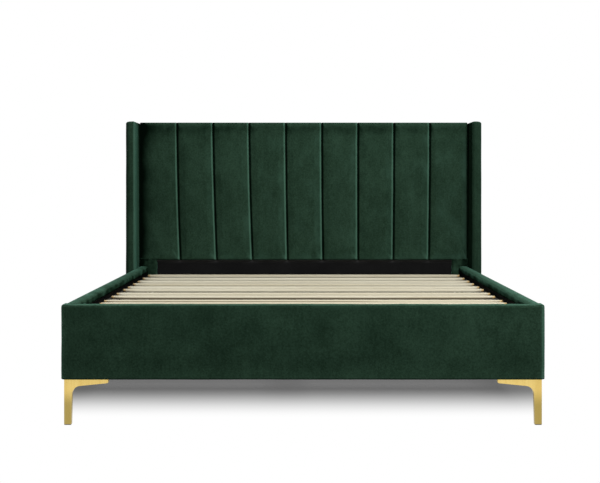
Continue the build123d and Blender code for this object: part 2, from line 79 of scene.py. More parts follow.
# Each lamp's place, the point that it is aimed at, its size and its power.
lamps = {
    "key_lamp": ((0.7, -2.6, 3.8), (0.0, 0.4, 0.5), (1.7, 1.7), 280.0),
    "front_lamp": ((0.7, -7.0, 2.2), (0.0, -0.9, 0.3), (1.8, 1.8), 46.0),
    "rear_lamp": ((-0.3, 4.2, 0.74), (0.0, 1.1, 0.62), (1.0, 0.7), 85.0),
}


class Result:
    """The outcome of a shader node, ready for arithmetic in a Python expression."""

    def __init__(self, nodes, socket):
        self.nodes = nodes
        self.socket = socket

    def maths(self, operation, first, second):
        return self.nodes.add("ShaderNodeMath", {0: first, 1: second}, operation=operation)

    def __add__(self, other):
        return self.maths("ADD", self, other)

    __radd__ = __add__

    def __sub__(self, other):
        return self.maths("SUBTRACT", self, other)

    def __rsub__(self, other):
        return self.maths("SUBTRACT", other, self)

    def __mul__(self, other):
        return self.maths("MULTIPLY", self, other)

    __rmul__ = __mul__

    def __abs__(self):
        return self.nodes.add("ShaderNodeMath", {0: self}, operation="ABSOLUTE")


class Nodes:
    """The nodes of one material or of the world."""

    def __init__(self, owner):
        owner.use_nodes = True
        self.owner = owner
        self.tree = owner.node_tree

    def add(self, kind, inputs=None, output=0, **settings):
        """Adds a node, with its settings first and then values or links on its inputs."""
        made = self.tree.nodes.new(kind)
        for setting, value in settings.items():
            setattr(made, setting, value)
        for name, value in (inputs or {}).items():
            self.feed(made.inputs[name], value)
        return Result(self, made.outputs[output])

    def feed(self, socket, value):
        if isinstance(value, Result):
            self.tree.links.new(value.socket, socket)
        else:
            socket.default_value = value

    def between(self, value, low, high):
        """Brings a value's range from low to high onto 0 to 1, with smooth ends."""
        return self.add("ShaderNodeMapRange", {"Value": value, "From Min": low, "From Max": high},
                        interpolation_type="SMOOTHSTEP")

    def mix(self, amount, first, second, blend="MIX"):
        """Mixes two colours."""
        return self.add("ShaderNodeMix", {0: amount, 6: first, 7: second}, 2,
                        data_type="RGBA", blend_type=blend)

    def parts(self, vector, axes="XYZ"):
        """The numbers along the axes that make up a place or a direction."""
        return [self.add("ShaderNodeSeparateXYZ", {"Vector": vector}, axis) for axis in axes]


def shader_choice(nodes, object_shader, seen_shader):
    """Shows the second shader to the camera and to reflections, and the first to light."""
    path = {name: nodes.add("ShaderNodeLightPath", output=name)
            for name in ("Is Camera Ray", "Is Glossy Ray", "Is Transmission Ray")}
    seen = path["Is Camera Ray"] + path["Is Glossy Ray"] + path["Is Transmission Ray"]
    return nodes.add("ShaderNodeMixShader", {0: seen, 1: object_shader, 2: seen_shader})


world = bpy.data.worlds.new("white_studio")
bpy.context.scene.world = world
sky = Nodes(world)
ambient = sky.add("ShaderNodeBackground", {"Color": white_light, "Strength": ambient_glow})
backdrop = sky.add("ShaderNodeBackground", {"Color": white_light, "Strength": background_glow})
sky.feed(world.node_tree.nodes["World Output"].inputs["Surface"], shader_choice(sky, ambient, backdrop))

bpy.ops.mesh.primitive_circle_add(vertices=floor_corners, radius=floor_radius, fill_type="NGON",
                                  location=(0.0, 0.0, 0.0))
floor = bpy.context.object
floor.name = "studio_floor"
floor_nodes = Nodes(bpy.data.materials.new("studio_floor_white"))
matt = floor_nodes.add("ShaderNodeBsdfDiffuse", {"Color": floor_colour})
dim = floor_nodes.add("ShaderNodeBsdfDiffuse", {"Color": shadow_colour})
glow = floor_nodes.add("ShaderNodeEmission", {"Color": white_light, "Strength": floor_glow})
shaded = floor_nodes.add("ShaderNodeAddShader", {0: dim, 1: glow})
white = floor_nodes.add("ShaderNodeEmission", {"Color": white_light, "Strength": background_glow})
floor_place = floor_nodes.add("ShaderNodeTexCoord", output="Object")
along, across = floor_nodes.parts(floor_place, "YX")
from_middle = abs(across)
ahead = floor_nodes.between(along, *shadow_front)
behind = 1.0 - floor_nodes.between(along, *shadow_back)
beside = 1.0 - floor_nodes.between(from_middle, *shadow_side)
fan_edge = (along - camera_place[1]) * shadow_fan
within_fan = floor_nodes.between(fan_edge - from_middle, -shadow_fan_softness, shadow_fan_softness)
# Painted shadow: inside this mask the eye sees the dim floor with a little glow, not white.
in_shadow = ahead * behind * beside * within_fan
seen_floor = floor_nodes.add("ShaderNodeMixShader", {0: in_shadow, 1: white, 2: shaded})
floor_output = floor_nodes.tree.nodes["Material Output"].inputs["Surface"]
floor_nodes.feed(floor_output, shader_choice(floor_nodes, matt, seen_floor))
floor.data.materials.append(floor_nodes.owner)

for name, (place, aim, size, power) in lamps.items():
    bpy.ops.object.light_add(type="AREA", location=place)
    light = bpy.context.object
    light.name = name
    light.data.shape = "RECTANGLE"
    light.data.size, light.data.size_y = size
    light.data.energy = power
    towards = Vector(aim) - Vector(place)
    light.rotation_euler = towards.to_track_quat("-Z", "Y").to_euler()


# Green velvet, dyed polyester with a short pile that lies this way and that. It looks darker
# where the pile faces the eye, and pale along edges that turn away. Its colour also carries
# painted light: paler where the surface faces right or up, and painted highlights and painted
# shade from the 'pile' attribute, where the painted shade also takes the sheen away.
velvet_tones = ((0.0078, 0.0205, 0.0114, 1.0), (0.0184, 0.0425, 0.0262, 1.0))
velvet_painted_highlight = (0.0480, 0.1120, 0.0780, 1.0)
velvet_painted_shade = (0.0009, 0.0030, 0.0016, 1.0)
painted_light_from_right = 0.50
painted_light_from_above = 0.36


class Finish(Nodes):
    """A material: its shader, its patterns, and the place on the piece that they read."""

    def __init__(self, name, constants):
        super().__init__(bpy.data.materials.new(name))
        self.shader = self.tree.nodes["Principled BSDF"]
        for socket, value in constants.items():
            self.shader.inputs[socket].default_value = value
        self.place = self.add("ShaderNodeTexCoord", output="Object")

    def facing(self):
        """Which way the surface faces, as its parts along x, y and z."""
        return self.parts(self.add("ShaderNodeNewGeometry", output="Normal"))

    def stretched(self, *scale):
        """The place, with its pattern repeated so many times a metre along x, y and z."""
        return self.add("ShaderNodeMapping", {"Vector": self.place, "Scale": scale})

    def clouds(self, *scale, detail=2.0, roughness=0.5, distortion=0.0):
        """Soft noise from 0 to 1, its scale given once or for x, y and z."""
        place, scale = (self.place, scale[0]) if len(scale) == 1 else (self.stretched(*scale), 1.0)
        return self.add("ShaderNodeTexNoise", {
            "Vector": place, "Scale": scale, "Detail": detail, "Roughness": roughness,
            "Distortion": distortion})

    def cells(self, scale, randomness=1.0):
        """Distances from scattered points."""
        return self.add("ShaderNodeTexVoronoi",
                        {"Vector": self.place, "Scale": scale, "Randomness": randomness})

    def brushed(self):
        """The 'pile' attribute that paint_pile_and_light() sets: random pile tone with painted highlights
        and painted shade.
        """
        return self.add("ShaderNodeAttribute", output="Fac", attribute_name="pile")

    def bump(self, height, distance, strength=1.0, under=None):
        """Turns a height pattern into small relief, over another relief if one is given."""
        inputs = {"Height": height, "Distance": distance, "Strength": strength}
        if under is not None:
            inputs["Normal"] = under
        return self.add("ShaderNodeBump", inputs)

    def wear(self, colour, relief, roughness=None):
        """Feeds the shader and returns the material."""
        self.feed(self.shader.inputs["Base Color"], colour)
        self.feed(self.shader.inputs["Normal"], relief)
        if roughness is not None:
            self.feed(self.shader.inputs["Roughness"], roughness)
        return self.owner


def make_velvet():
    finish = Finish("green_velvet", {
        "Roughness": 0.9, "Specular IOR Level": 0.05, "Sheen Weight": 0.26,
        "Sheen Roughness": 0.30, "Sheen Tint": (0.18, 0.50, 0.36, 1.0)})
    patches = finish.clouds(7.0, 7.0, 5.0, distortion=0.5)
    blotches = finish.clouds(38.0, 38.0, 30.0, detail=3.0, roughness=0.62, distortion=0.4)
    strokes = finish.clouds(95.0, 95.0, 13.0, roughness=0.6)
    grain = finish.clouds(340.0)
    pile = finish.clouds(1300.0, detail=0.0)
    mottle = finish.clouds(140.0, roughness=0.6)
    mottled = patches * 0.21 + blotches * 0.17 + strokes * 0.10 + mottle * 0.32 + grain * 0.20
    lean = finish.between(mottled, 0.37, 0.64)
    colour = finish.mix(lean, *velvet_tones)
    sideways, frontways, upward = finish.facing()
    # Painted light: paler where the surface faces right, darker where it faces left, paler where it faces
    # up.
    turned = sideways * (abs(frontways) * 0.75 + 0.25)
    risen = finish.between(upward, 0.2, 1.0)
    painted_light_and_pile = turned * painted_light_from_right + risen * painted_light_from_above + finish.brushed()
    # Positive amounts mix towards the painted highlight colour, negative ones towards the painted shade
    # colour.
    colour = finish.mix(finish.between(painted_light_and_pile, 0.0, 1.0), colour, velvet_painted_highlight)
    painted_shade_and_dark_pile = -1.0 * painted_light_and_pile
    colour = finish.mix(finish.between(painted_shade_and_dark_pile, 0.0, 1.0), colour, velvet_painted_shade)
    broad = finish.bump(blotches + patches, 0.0025, 0.4)
    relief = finish.bump(grain + pile * 0.5, 0.0004, 0.5, broad)
    # Where painted shade darkens the surface, a shader without sheen takes over, so the sheen is taken away
    # too.
    shade_without_sheen = finish.add("ShaderNodeBsdfDiffuse", {"Color": colour, "Roughness": 1.0, "Normal": relief})
    velvet = finish.wear(colour, relief)
    standing = Result(finish, finish.shader.outputs["BSDF"])
    painted_shade = finish.between(painted_shade_and_dark_pile, 0.0, 0.6)
    surface = finish.add("ShaderNodeMixShader", {0: painted_shade, 1: standing, 2: shade_without_sheen})
    finish.feed(finish.tree.nodes["Material Output"].inputs["Surface"], surface)
    return velvet


velvet = make_velvet()


# Shaping. Each padded piece starts as a block cut by a grid that is finest at its edges. The
# edges are rounded, waves and seams push the faces in and out, and the 'pile' attribute is set:
# random pile tone with painted highlights and painted shade.
fine_grid = 0.0022
skin_grid = 0.0018
broad_grid = 0.0065
slack_grid = 0.0068
lip_grid = 0.004
edge_grid = 0.003
even_grid = 0.005
round_grid = 0.002
touching = 1e-6
tiny = 1e-9
crisp = 0.0005
hair = 0.001


def lines(*marks, end):
    """Grid lines along one axis: from each mark to the next, at that mark's spacing."""
    places = []
    stops = [place for place, spacing in marks[1:]] + [end]
    for (start, spacing), stop in zip(marks, stops):
        count = max(1, math.ceil((stop - start) / spacing - 0.001))
        places += [start + (stop - start) * step / count for step in range(count)]
    return places + [end]


def edged_lines(low, high, rounding, spacing=even_grid, fine=fine_grid):
    """Grid lines from low to high, closer together over the rounding at both ends."""
    return lines((low, fine), (low + rounding, spacing), (high - rounding, fine), end=high)


def read_points(piece, kind="co"):
    """The piece's vertices, a row each, or their normals if that is the kind."""
    values = np.empty(len(piece.data.vertices) * 3)
    piece.data.vertices.foreach_get(kind, values)
    return values.reshape(-1, 3)


def write_points(piece, points):
    piece.data.vertices.foreach_set("co", np.asarray(points, np.float32).ravel())
    piece.data.update()


def select_only(*pieces):
    """Selects these pieces alone, the first of them active."""
    bpy.ops.object.select_all(action="DESELECT")
    for piece in pieces:
        piece.select_set(True)
    bpy.context.view_layer.objects.active = pieces[0]


def gridded_block(name, *places):
    """Makes a closed block from a cube, its faces cut at the places given for x, y and z."""
    bpy.ops.mesh.primitive_cube_add(size=2.0, location=(0.0, 0.0, 0.0))
    block = bpy.context.object
    block.name = name
    mesh = block.data
    bpy.context.tool_settings.mesh_select_mode = (False, True, False)
    for axis, along in enumerate(places):
        ends = np.empty(len(mesh.edges) * 2, int)
        mesh.edges.foreach_get("vertices", ends)
        points = read_points(block)
        first, second = points[ends[0::2]], points[ends[1::2]]
        parallel = np.abs(first - second)[:, axis] > touching
        for parts in (mesh.vertices, mesh.edges, mesh.polygons):
            parts.foreach_set("select", np.zeros(len(parts), bool))
        mesh.edges.foreach_set("select", parallel)
        bpy.ops.object.mode_set(mode="EDIT")
        bpy.ops.mesh.subdivide(number_cuts=len(along) - 2)
        bpy.ops.object.mode_set(mode="OBJECT")
    points = read_points(block)
    for axis, along in enumerate(places):
        number = np.rint((points[:, axis] + 1.0) / 2.0 * (len(along) - 1)).astype(int)
        points[:, axis] = np.array(along)[number]
    write_points(block, points)
    bpy.ops.object.shade_smooth()
    return block


def velvet_block(name, across, through, upward):
    """Starts a velvet piece: a block, its points, and their x, y and z."""
    piece = gridded_block(name, across, through, upward)
    flat = read_points(piece)
    return piece, flat, *flat.T


def rounded(points, low, high, low_radii, high_radii):
    """Draws a block's edges in to round ones, with a radius for each side of each axis."""
    low, high = np.array(low), np.array(high)
    low_radii, high_radii = np.array(low_radii), np.array(high_radii)
    core = np.clip(points, low + low_radii, high - high_radii)
    beyond = points - core
    radii = np.where(beyond < 0.0, low_radii, high_radii)
    shares = beyond / radii
    longest = np.abs(shares).max(axis=1, keepdims=True)
    length = np.linalg.norm(shares, axis=1, keepdims=True)
    return core + shares / np.maximum(length, tiny) * longest * radii


def waves(points, lengths, seed):
    """Smooth noise from -1 to 1 at each point, with so long a wave along x, y and z."""
    scaled = points / np.array(lengths) + seed * 7.31
    return np.array([noise.noise(Vector(point)) for point in scaled])


def layered(points, seed, *layers):
    """Adds up waves, each given by its lengths along x, y and z and by its height."""
    return sum(waves(points, lengths, seed + number) * height
               for number, (lengths, height) in enumerate(layers))


def ease(values, start, stop):
    """0 before the start, 1 after the stop, and smooth between them."""
    share = np.clip((values - start) / (stop - start), 0.0, 1.0)
    return share * share * (3.0 - 2.0 * share)


def fade(values, start, stop):
    """1 before the start, 0 after the stop, and smooth between them."""
    return 1.0 - ease(values, start, stop)


def groove(distances, width):
    """1 at a seam, falling to 0 a few widths away from it."""
    return np.exp(-(distances / width) ** 2)


def band(distances, place, width, strength=1.0):
    """A soft band that lies so far from a seam or an edge."""
    return groove(distances - place, width) * strength


def paint_pile_and_light(piece, amounts):
    """Sets the 'pile' attribute: up to 1 paler, down to -1 darker. It holds random pile tone together with
    painted highlights and painted shade.
    """
    pile = piece.data.attributes.new("pile", "FLOAT", "POINT")
    pile.data.foreach_set("value", np.asarray(amounts, np.float32))


def push(piece, amounts):
    """Moves each vertex out along the surface by its own amount."""
    write_points(piece, read_points(piece) + read_points(piece, "normal") * amounts[:, None])


def dress(piece, material, slot, *nodes, fill=None):
    """Gives a piece its finish and its body, and hides the solids that it stands for."""
    piece.data.materials.clear()
    piece.data.materials.append(material)
    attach(piece, "frame")
    if nodes:
        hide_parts(*nodes)


# Footboard: a board padded with foam and wrapped in velvet, which is drawn over the top and
# a little way down inside, and stapled underneath. A seam runs up each front corner.
footboard_corner = 0.009
footboard_edge_grid = 0.006
footboard_edge = 0.014
footboard_hem = 0.004
footboard_rounding = 0.010
footboard_back_rounding = 0.012
footboard_seam_inset = 0.0075
lip_depth = 0.0305
lip_reach = 0.010
seam_depth = 0.0011
seam_width = 0.0022
face_crown = 0.0022
face_crown_reach = 0.09
corner_puff = 0.0035
corner_puff_across = (0.004, 0.035)
corner_puff_down = (0.0, 0.03)
footboard_swell = (((0.16, 0.1, 0.11), 0.0007), ((0.05, 0.05, 0.03), 0.00035))
footboard_tucks = ((0.035, 0.2, 0.035), 0.0009)
footboard_puckers = ((0.05, 0.05, 0.012), 0.0006)
footboard_marbling = ((0.11, 0.1, 0.07), 0.13)
tuck_span = (0.006, 0.05)
pucker_width = 3.0 * seam_width
# Painted light on the footboard's velvet: highlights at the ends and the top edge, shade on the front.
end_strip_span = (seam_width, 0.019)
end_strip_highlight, end_strip_lean = 0.62, 0.12
rim_span, rim_end_span = (0.002, 0.008), (0.1, 0.5)
rim_end_highlight, rim_shade = 0.22, 0.13
low_edge_span, low_edge_lift = (0.0, 0.07), 0.14
front_shade, front_shade_lean, front_shade_span = 0.27, 0.12, (-0.1, 0.8)
recess_half, base_half = (corner.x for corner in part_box("rail_cover_right"))


def make_footboard():
    low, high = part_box("footboard_cover")
    lip_bottom = high.z - lip_depth
    seam_x = high.x - footboard_seam_inset
    across = lines((low.x, skin_grid), (low.x + footboard_edge, footboard_edge_grid),
                   (-recess_half - hair, 2.0 * hair), (-recess_half + hair, broad_grid),
                   (recess_half - hair, 2.0 * hair), (recess_half + hair, footboard_edge_grid),
                   (high.x - footboard_edge, skin_grid), end=high.x)
    through = lines((low.y, fine_grid), (low.y + footboard_rounding, broad_grid),
                    (high.y - footboard_back_rounding, edge_grid), end=high.y)
    upward = lines((low.z, fine_grid), (low.z + footboard_rounding, broad_grid),
                   (lip_bottom - hair, 2.0 * hair), (lip_bottom + hair, lip_grid),
                   (high.z - footboard_rounding, skin_grid), end=high.z)
    piece, flat, x, y, z = velvet_block("footboard_velvet", across, through, upward)
    corner = footboard_corner
    points = rounded(flat, low, high, (corner, corner, footboard_hem), (corner, corner, corner))
    under_lip = (y > high.y - touching) & (z < lip_bottom)
    set_back = under_lip | (np.abs(x) > recess_half)
    points[set_back, 1] = np.minimum(points[set_back, 1], high.y - lip_reach)
    in_front = y < low.y + touching
    from_end = high.x - np.abs(x)
    from_top = high.z - z
    edge = np.minimum(from_end, np.minimum(from_top, z - low.z))
    points[:, 1] += np.where(in_front, face_crown * fade(edge, 0.0, face_crown_reach), 0.0)
    at_corner = fade(from_end, *corner_puff_across) * fade(from_top, *corner_puff_down)
    points[:, 2] += corner_puff * at_corner
    write_points(piece, points)
    tucks = layered(flat, 3, footboard_tucks) * fade(from_top, *tuck_span)
    from_seam = np.abs(x) - seam_x
    puckers = layered(flat, 4, footboard_puckers) * groove(from_seam, pucker_width) * in_front
    seam = groove(from_seam, seam_width) * in_front
    push(piece, layered(flat, 1, *footboard_swell) + tucks + puckers - seam * seam_depth)
    # Painted highlights up both end corners, stronger on the right, and along the top edge near the ends;
    # painted shade along the middle of the top edge and over the front face, less towards the right; a
    # little paler along the bottom edge; random marbling.
    painted_end_highlight = fade(from_end, *end_strip_span) * (end_strip_highlight + end_strip_lean * np.sign(x))
    rim = fade(from_top, *rim_span) * (rim_end_highlight * fade(from_end, *rim_end_span) - rim_shade)
    low_edge = fade(z - low.z, *low_edge_span) * low_edge_lift
    painted_shade_tone = front_shade - front_shade_lean * ease(x, *front_shade_span)
    marbled = layered(flat, 5, footboard_marbling)
    paint_pile_and_light(piece, painted_end_highlight + rim + low_edge + marbled - painted_shade_tone * in_front)
    dress(piece, velvet, "velvet", "footboard_cover", fill=0.9)


make_footboard()


# Side rails: each a board wrapped like the footboard, with a soft roll along the top. The cloth
# is gathered a little over the roll, most of all near the headboard. Its colour carries painted
# light: a painted highlight on top and painted shade on the inner side and near the headboard.
rail_roll = 0.0105
rail_inner_roll = 0.016
rail_end = 0.014
rail_hem = 0.003
rail_top_rounding = 0.013
rail_lip_depth = 0.0255
rail_lip_wave = 0.0016
rail_lip_step = 0.008
rail_lip_band = (-0.003, 0.004)
rail_spacing = 0.0058
rail_folds = (((0.12, 0.060, 0.12), 0.7), ((0.09, 0.022, 0.09), 0.3))
rail_softness = ((0.09, 0.16, 0.09), 0.0012)
rail_wander = (((0.3, 0.085, 0.3), 0.013), ((0.2, 0.03, 0.2), 0.004))
rail_lip_ripple = ((0.1, 0.07, 0.1), rail_lip_wave)
rail_blotches = (((0.05, 0.075, 0.03), 0.34), ((0.02, 0.03, 0.012), 0.16))
rail_unevenness = {"left": 1.0, "right": 0.5}
rail_slant = (0.5, 0.12)
rail_gather, rail_head_gather, rail_gather_span = 0.0022, 0.0026, (0.008, 0.026)
rail_gather_below, rail_gather_above = 0.02, 0.01
rail_head_reach, rail_head_end = 0.75, 0.05
rail_soft_span, rail_foot_reach, rail_blotch_reach = (0.004, 0.02), 0.03, 0.01
rail_nose_width, rail_nose_span, rail_nose_shade = 0.05, (0.025, 0.045), 0.5
rail_outer_light_reach = 0.014
rail_girth = (0.0, 0.008, 0.016, 0.026, 0.036, 0.044, 0.050, 0.056, 0.064, 0.070)
# Painted light round the rail, from the outer edge over the top to the inner side: highlight, then painted
# shade.
rail_painted_light = {
    "left": (0.20, 0.24, 0.14, 0.02, -0.12, -0.34, -0.54, -0.64, -0.70, -0.82),
    "right": (0.30, 0.32, 0.28, 0.14, -0.06, -0.28, -0.30, -0.32, -0.38, -0.46),
}


def make_rail(side, sign, seed):
    low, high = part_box(f"rail_cover_{side}")
    lip_bottom = high.z - rail_lip_depth
    inner, outer = sign * recess_half, sign * base_half
    across = edged_lines(low.x, high.x, rail_inner_roll)
    along = lines((low.y, rail_spacing), (high.y - rail_inner_roll, edge_grid), end=high.y)
    upward = lines((low.z, fine_grid), (low.z + 2.0 * rail_hem, slack_grid),
                   (lip_bottom - hair, 2.0 * hair), (lip_bottom + hair, lip_grid),
                   (high.z - rail_top_rounding, fine_grid), end=high.z)
    piece, flat, x, y, z = velvet_block(f"side_rail_velvet_{side}", across, along, upward)
    left_roll, right_roll = (rail_inner_roll, rail_roll)[::int(sign)]
    points = rounded(flat, low, high, (left_roll, crisp, rail_hem), (right_roll, rail_end, rail_roll))
    at_inner = np.abs(x - inner) < touching
    inside = at_inner & (z < lip_bottom)
    points[inside, 0] = inner + sign * rail_lip_step
    below_lip, above_lip = rail_lip_band
    lip_edge = at_inner & (z > lip_bottom + below_lip) & (z < lip_bottom + above_lip)
    points[:, 2] += np.where(lip_edge, layered(flat, seed + 5, rail_lip_ripple), 0.0)
    write_points(piece, points)
    from_outer = np.abs(x - outer)
    from_top = high.z - z
    height = ease(z, lip_bottom - rail_gather_below, high.z - rail_gather_above)
    head = ease(y, high.y - rail_head_reach, high.y - rail_head_end)
    slant = flat + np.column_stack((y * 0.0, x * sign * rail_slant[0], y * rail_slant[1]))
    uneven = rail_unevenness[side]
    gather = (rail_gather + rail_head_gather * head) * height * ease(from_outer, *rail_gather_span) * uneven
    soft = layered(flat, seed + 2, rail_softness) * ease(from_outer, *rail_soft_span)
    keep_foot = ease(y, low.y, low.y + rail_foot_reach)
    push(piece, np.where(inside, 0.0, layered(slant, seed, *rail_folds) * gather + soft) * keep_foot)
    # Painted highlight over the top, painted shade on the inner side and near the headboard; random
    # blotches.
    girth = np.where(from_outer < touching, 0.0, from_outer + from_top)
    wander = layered(flat, seed + 3, *rail_wander) * uneven
    pile = np.interp(girth + wander, rail_girth, rail_painted_light[side])
    pile = np.where(from_outer < touching, pile * fade(from_top, 0.0, rail_outer_light_reach), pile)
    blotches = layered(flat, seed + 6, *rail_blotches)
    nose = groove(high.y - y, rail_nose_width) * ease(girth, *rail_nose_span) * rail_nose_shade
    paint_pile_and_light(piece, pile + blotches * uneven * ease(from_outer, 0.0, rail_blotch_reach) - nose)
    dress(piece, velvet, "velvet", f"rail_cover_{side}", fill=0.85)


sides = (("left", -1.0), ("right", 1.0))
for (side, sign), seed in zip(sides, (11, 17)):
    make_rail(side, sign, seed)


# Lower posts of the headboard: flat pads beside the rails' ends. Their velvet is drawn under
# the channels above and puckers there.
post_edge = 0.008
post_top_edge = 0.006
post_tuck = 0.004
post_side_round = 0.002
post_grid = 0.012
post_pucker_grid = 0.0025
post_pucker_reach = 0.02
right_post_slip = 0.008
post_puckers = ((0.011, 0.03, 0.05), 0.0028)
post_creases = ((0.03, 0.03, 0.02), 0.0022)
post_crushing = ((0.022, 0.03, 0.018), 0.42)
post_shade = {"left": 0.30, "right": 0.05}
post_crease_slant = 0.5
post_wing_span, post_wing_shade = (0.765, 0.805), 0.45
post_top_reach, post_top_shade = 0.05, 0.15
bracket_low, bracket_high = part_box("corner_brackets")
bracket_clear = 0.02


def make_post(side, sign, seed):
    low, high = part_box(f"headboard_post_cover_{side}")
    high.z += post_tuck
    low.x += right_post_slip * (sign > 0)
    pocket = (bracket_low.z - bracket_clear, bracket_high.z + bracket_clear)
    pocket_x = sign * (recess_half + rail_lip_step - hair)
    across = edged_lines(low.x, high.x, post_edge, fine=round_grid)
    through = lines((low.y, round_grid), (low.y + post_edge, even_grid), end=high.y)
    upward = lines((low.z, post_grid), (pocket[0], hair), (pocket[0] + hair, post_grid), (pocket[1], hair),
                   (pocket[1] + hair, even_grid), (high.z - post_pucker_reach, post_pucker_grid),
                   end=high.z)
    piece, flat, x, _, z = velvet_block(f"headboard_post_velvet_{side}", across, through, upward)
    left_round, right_round = (post_side_round, post_edge)[::-int(sign)]
    points = rounded(flat, low, high, (left_round, post_edge, crisp), (right_round, crisp, post_top_edge))
    pocketed = (z > pocket[0]) & (z < pocket[1])
    points[pocketed, 0] = sign * np.maximum(sign * points[pocketed, 0], sign * pocket_x)
    write_points(piece, points)
    near_top = fade(high.z - z, 0.0, post_top_reach)
    puckers = layered(flat, seed, post_puckers) * near_top
    creases = layered(flat + flat[:, [2, 0, 1]] * post_crease_slant, seed + 1, post_creases)
    push(piece, np.where(pocketed, 0.0, puckers + creases))
    by_wing = ease(np.abs(x), *post_wing_span)
    shaded = post_shade[side] + by_wing * post_wing_shade + near_top * post_top_shade
    paint_pile_and_light(piece, layered(flat, seed + 2, post_crushing) - shaded)
    dress(piece, velvet, "velvet", f"headboard_post_cover_{side}", fill=0.8)


for (side, sign), seed in zip(sides, (23, 29)):
    make_post(side, sign, seed)


# Headboard channels: nine foam pads under one velvet cover, drawn in at eight stitched seams
# and turned over the top. Each pad swells a little between its seams under air pressure.
pad_count = 9
pad_depth_grid = ((0.0, 0.25), (1.0, 0.4))
pad_grid = ((0.0, 0.011), (0.11, 0.030), (0.27, 0.07), (0.73, 0.030), (0.89, 0.011))
channel_grid = 0.009
channel_roll_grid = 0.0035
seam_side_depth = 0.0085
outer_side_depth = 0.0010
shoulder_width = 0.013
outer_shoulder_width = {1: 0.060, pad_count: 0.010}
shoulder_power = 0.8
channel_front_depth = 0.0205
channel_crown = 0.0022
channel_rise = 0.003
channel_top_roll = 0.020
channel_bottom_roll = 0.005
channel_notch = 0.0022
pad_foot_band = 0.002
pad_top_band = 0.0075
held_seam = 0.004
seam_clearance = -0.0008
seam_slips = ((-0.0069, -0.0028, -0.0044), (-0.0079, -0.0029, -0.0049), (-0.0054, -0.0035, -0.0044),
              (-0.0074, -0.0012, -0.0020), (-0.0054, -0.0015, -0.0015), (-0.0064, -0.0007, -0.0010),
              (-0.0069, 0.0008, -0.0015), (0.0, 0.0013, -0.0025))
channel_drop = 0.0045
# Painted light: each pad darker on the left and paler on the right, and painted shade in pad 1's crease by
# the wing.
pad_light_and_tone = (-0.10, -0.06, 0.0, 0.06, 0.08, 0.05, 0.02, 0.06, 0.12)
crease_reach = (0.0, 0.006, 0.013, 0.023, 0.033, 0.042, 0.050, 0.075, 0.115)
crease_shade = (1.0, 0.90, 0.70, 0.50, 0.34, 0.20, 0.12, 0.04, 0.0)
channel_puckers = ((0.03, 0.03, 0.014), 0.0007)
channel_gathers = ((0.022, 0.05, 0.06), 0.0008)
channel_softness = ((0.07, 0.07, 0.1), 0.0006)
channel_marbling = (((0.06, 0.06, 0.10), 0.18), ((0.02, 0.02, 0.03), 0.08))
pad_front_span, pad_gather_span = (0.002, 0.008), (0.004, 0.05)
pad_pucker_band = (0.008, 0.012)
# Painted highlight left of each seam, painted shade right of it and at each pad's right edge, painted shade
# below the top and a paler band at the hem.
pad_highlight_band, pad_shade_band = (0.0045, 0.0042, 0.72), (0.0035, 0.0050, 0.95)
pad_right_shade, last_pad_right_shade = 0.0022, 0.0050
pad_top_shade, pad_hem_light = (0.032, 0.030, 0.32), (0.0, 0.024, 0.26)
swell_quality = 4
swell_pressure = 4.0
swell_stiffness = 8.0
swell_bending = 0.4
swell_cap = 0.0035
swell_frames = 20
front_board_low, front_board_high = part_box("headboard_front_board")
front_board_y = front_board_low.y
frame_top = front_board_high.z


def channel_sides(number):
    """The pad's left and right edges at its foot and at its top, read from its solid."""
    points = read_points(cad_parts[f"channel_pad_{number}"])
    low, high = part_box(f"channel_pad_{number}")
    foot = points[points[:, 2] < low.z + pad_foot_band]
    level = points[:, 2] > high.z - pad_top_band
    top = points[level & (points[:, 1] > front_board_y - hair)]
    return foot[:, 0].min(), foot[:, 0].max(), top[:, 0].min(), top[:, 0].max()


def roll_over(forward, rise):
    """Turns a square edge into a round one: shares forward and up, from 0 to 1 each."""
    longest = np.maximum(forward, rise)
    length = np.maximum(np.hypot(forward, rise), tiny)
    return forward * longest / length, rise * longest / length


def seam_slip(seam, rise):
    """How far a seam wanders sideways, from its foot through its middle to its top."""
    if seam not in range(1, len(seam_slips) + 1):
        return 0.0
    foot, bow, top = seam_slips[seam - 1]
    return foot + (top - foot) * rise + bow * 4.0 * rise * (1.0 - rise)


def pad_edges(number, rise):
    """The places of a pad's left and right edges at each height."""
    foot_left, foot_right, top_left, top_right = channel_sides(number)
    left = foot_left + (top_left - foot_left) * rise + seam_slip(number - 1, rise)
    right = foot_right + (top_right - foot_right) * rise + seam_slip(number, rise)
    return left, right


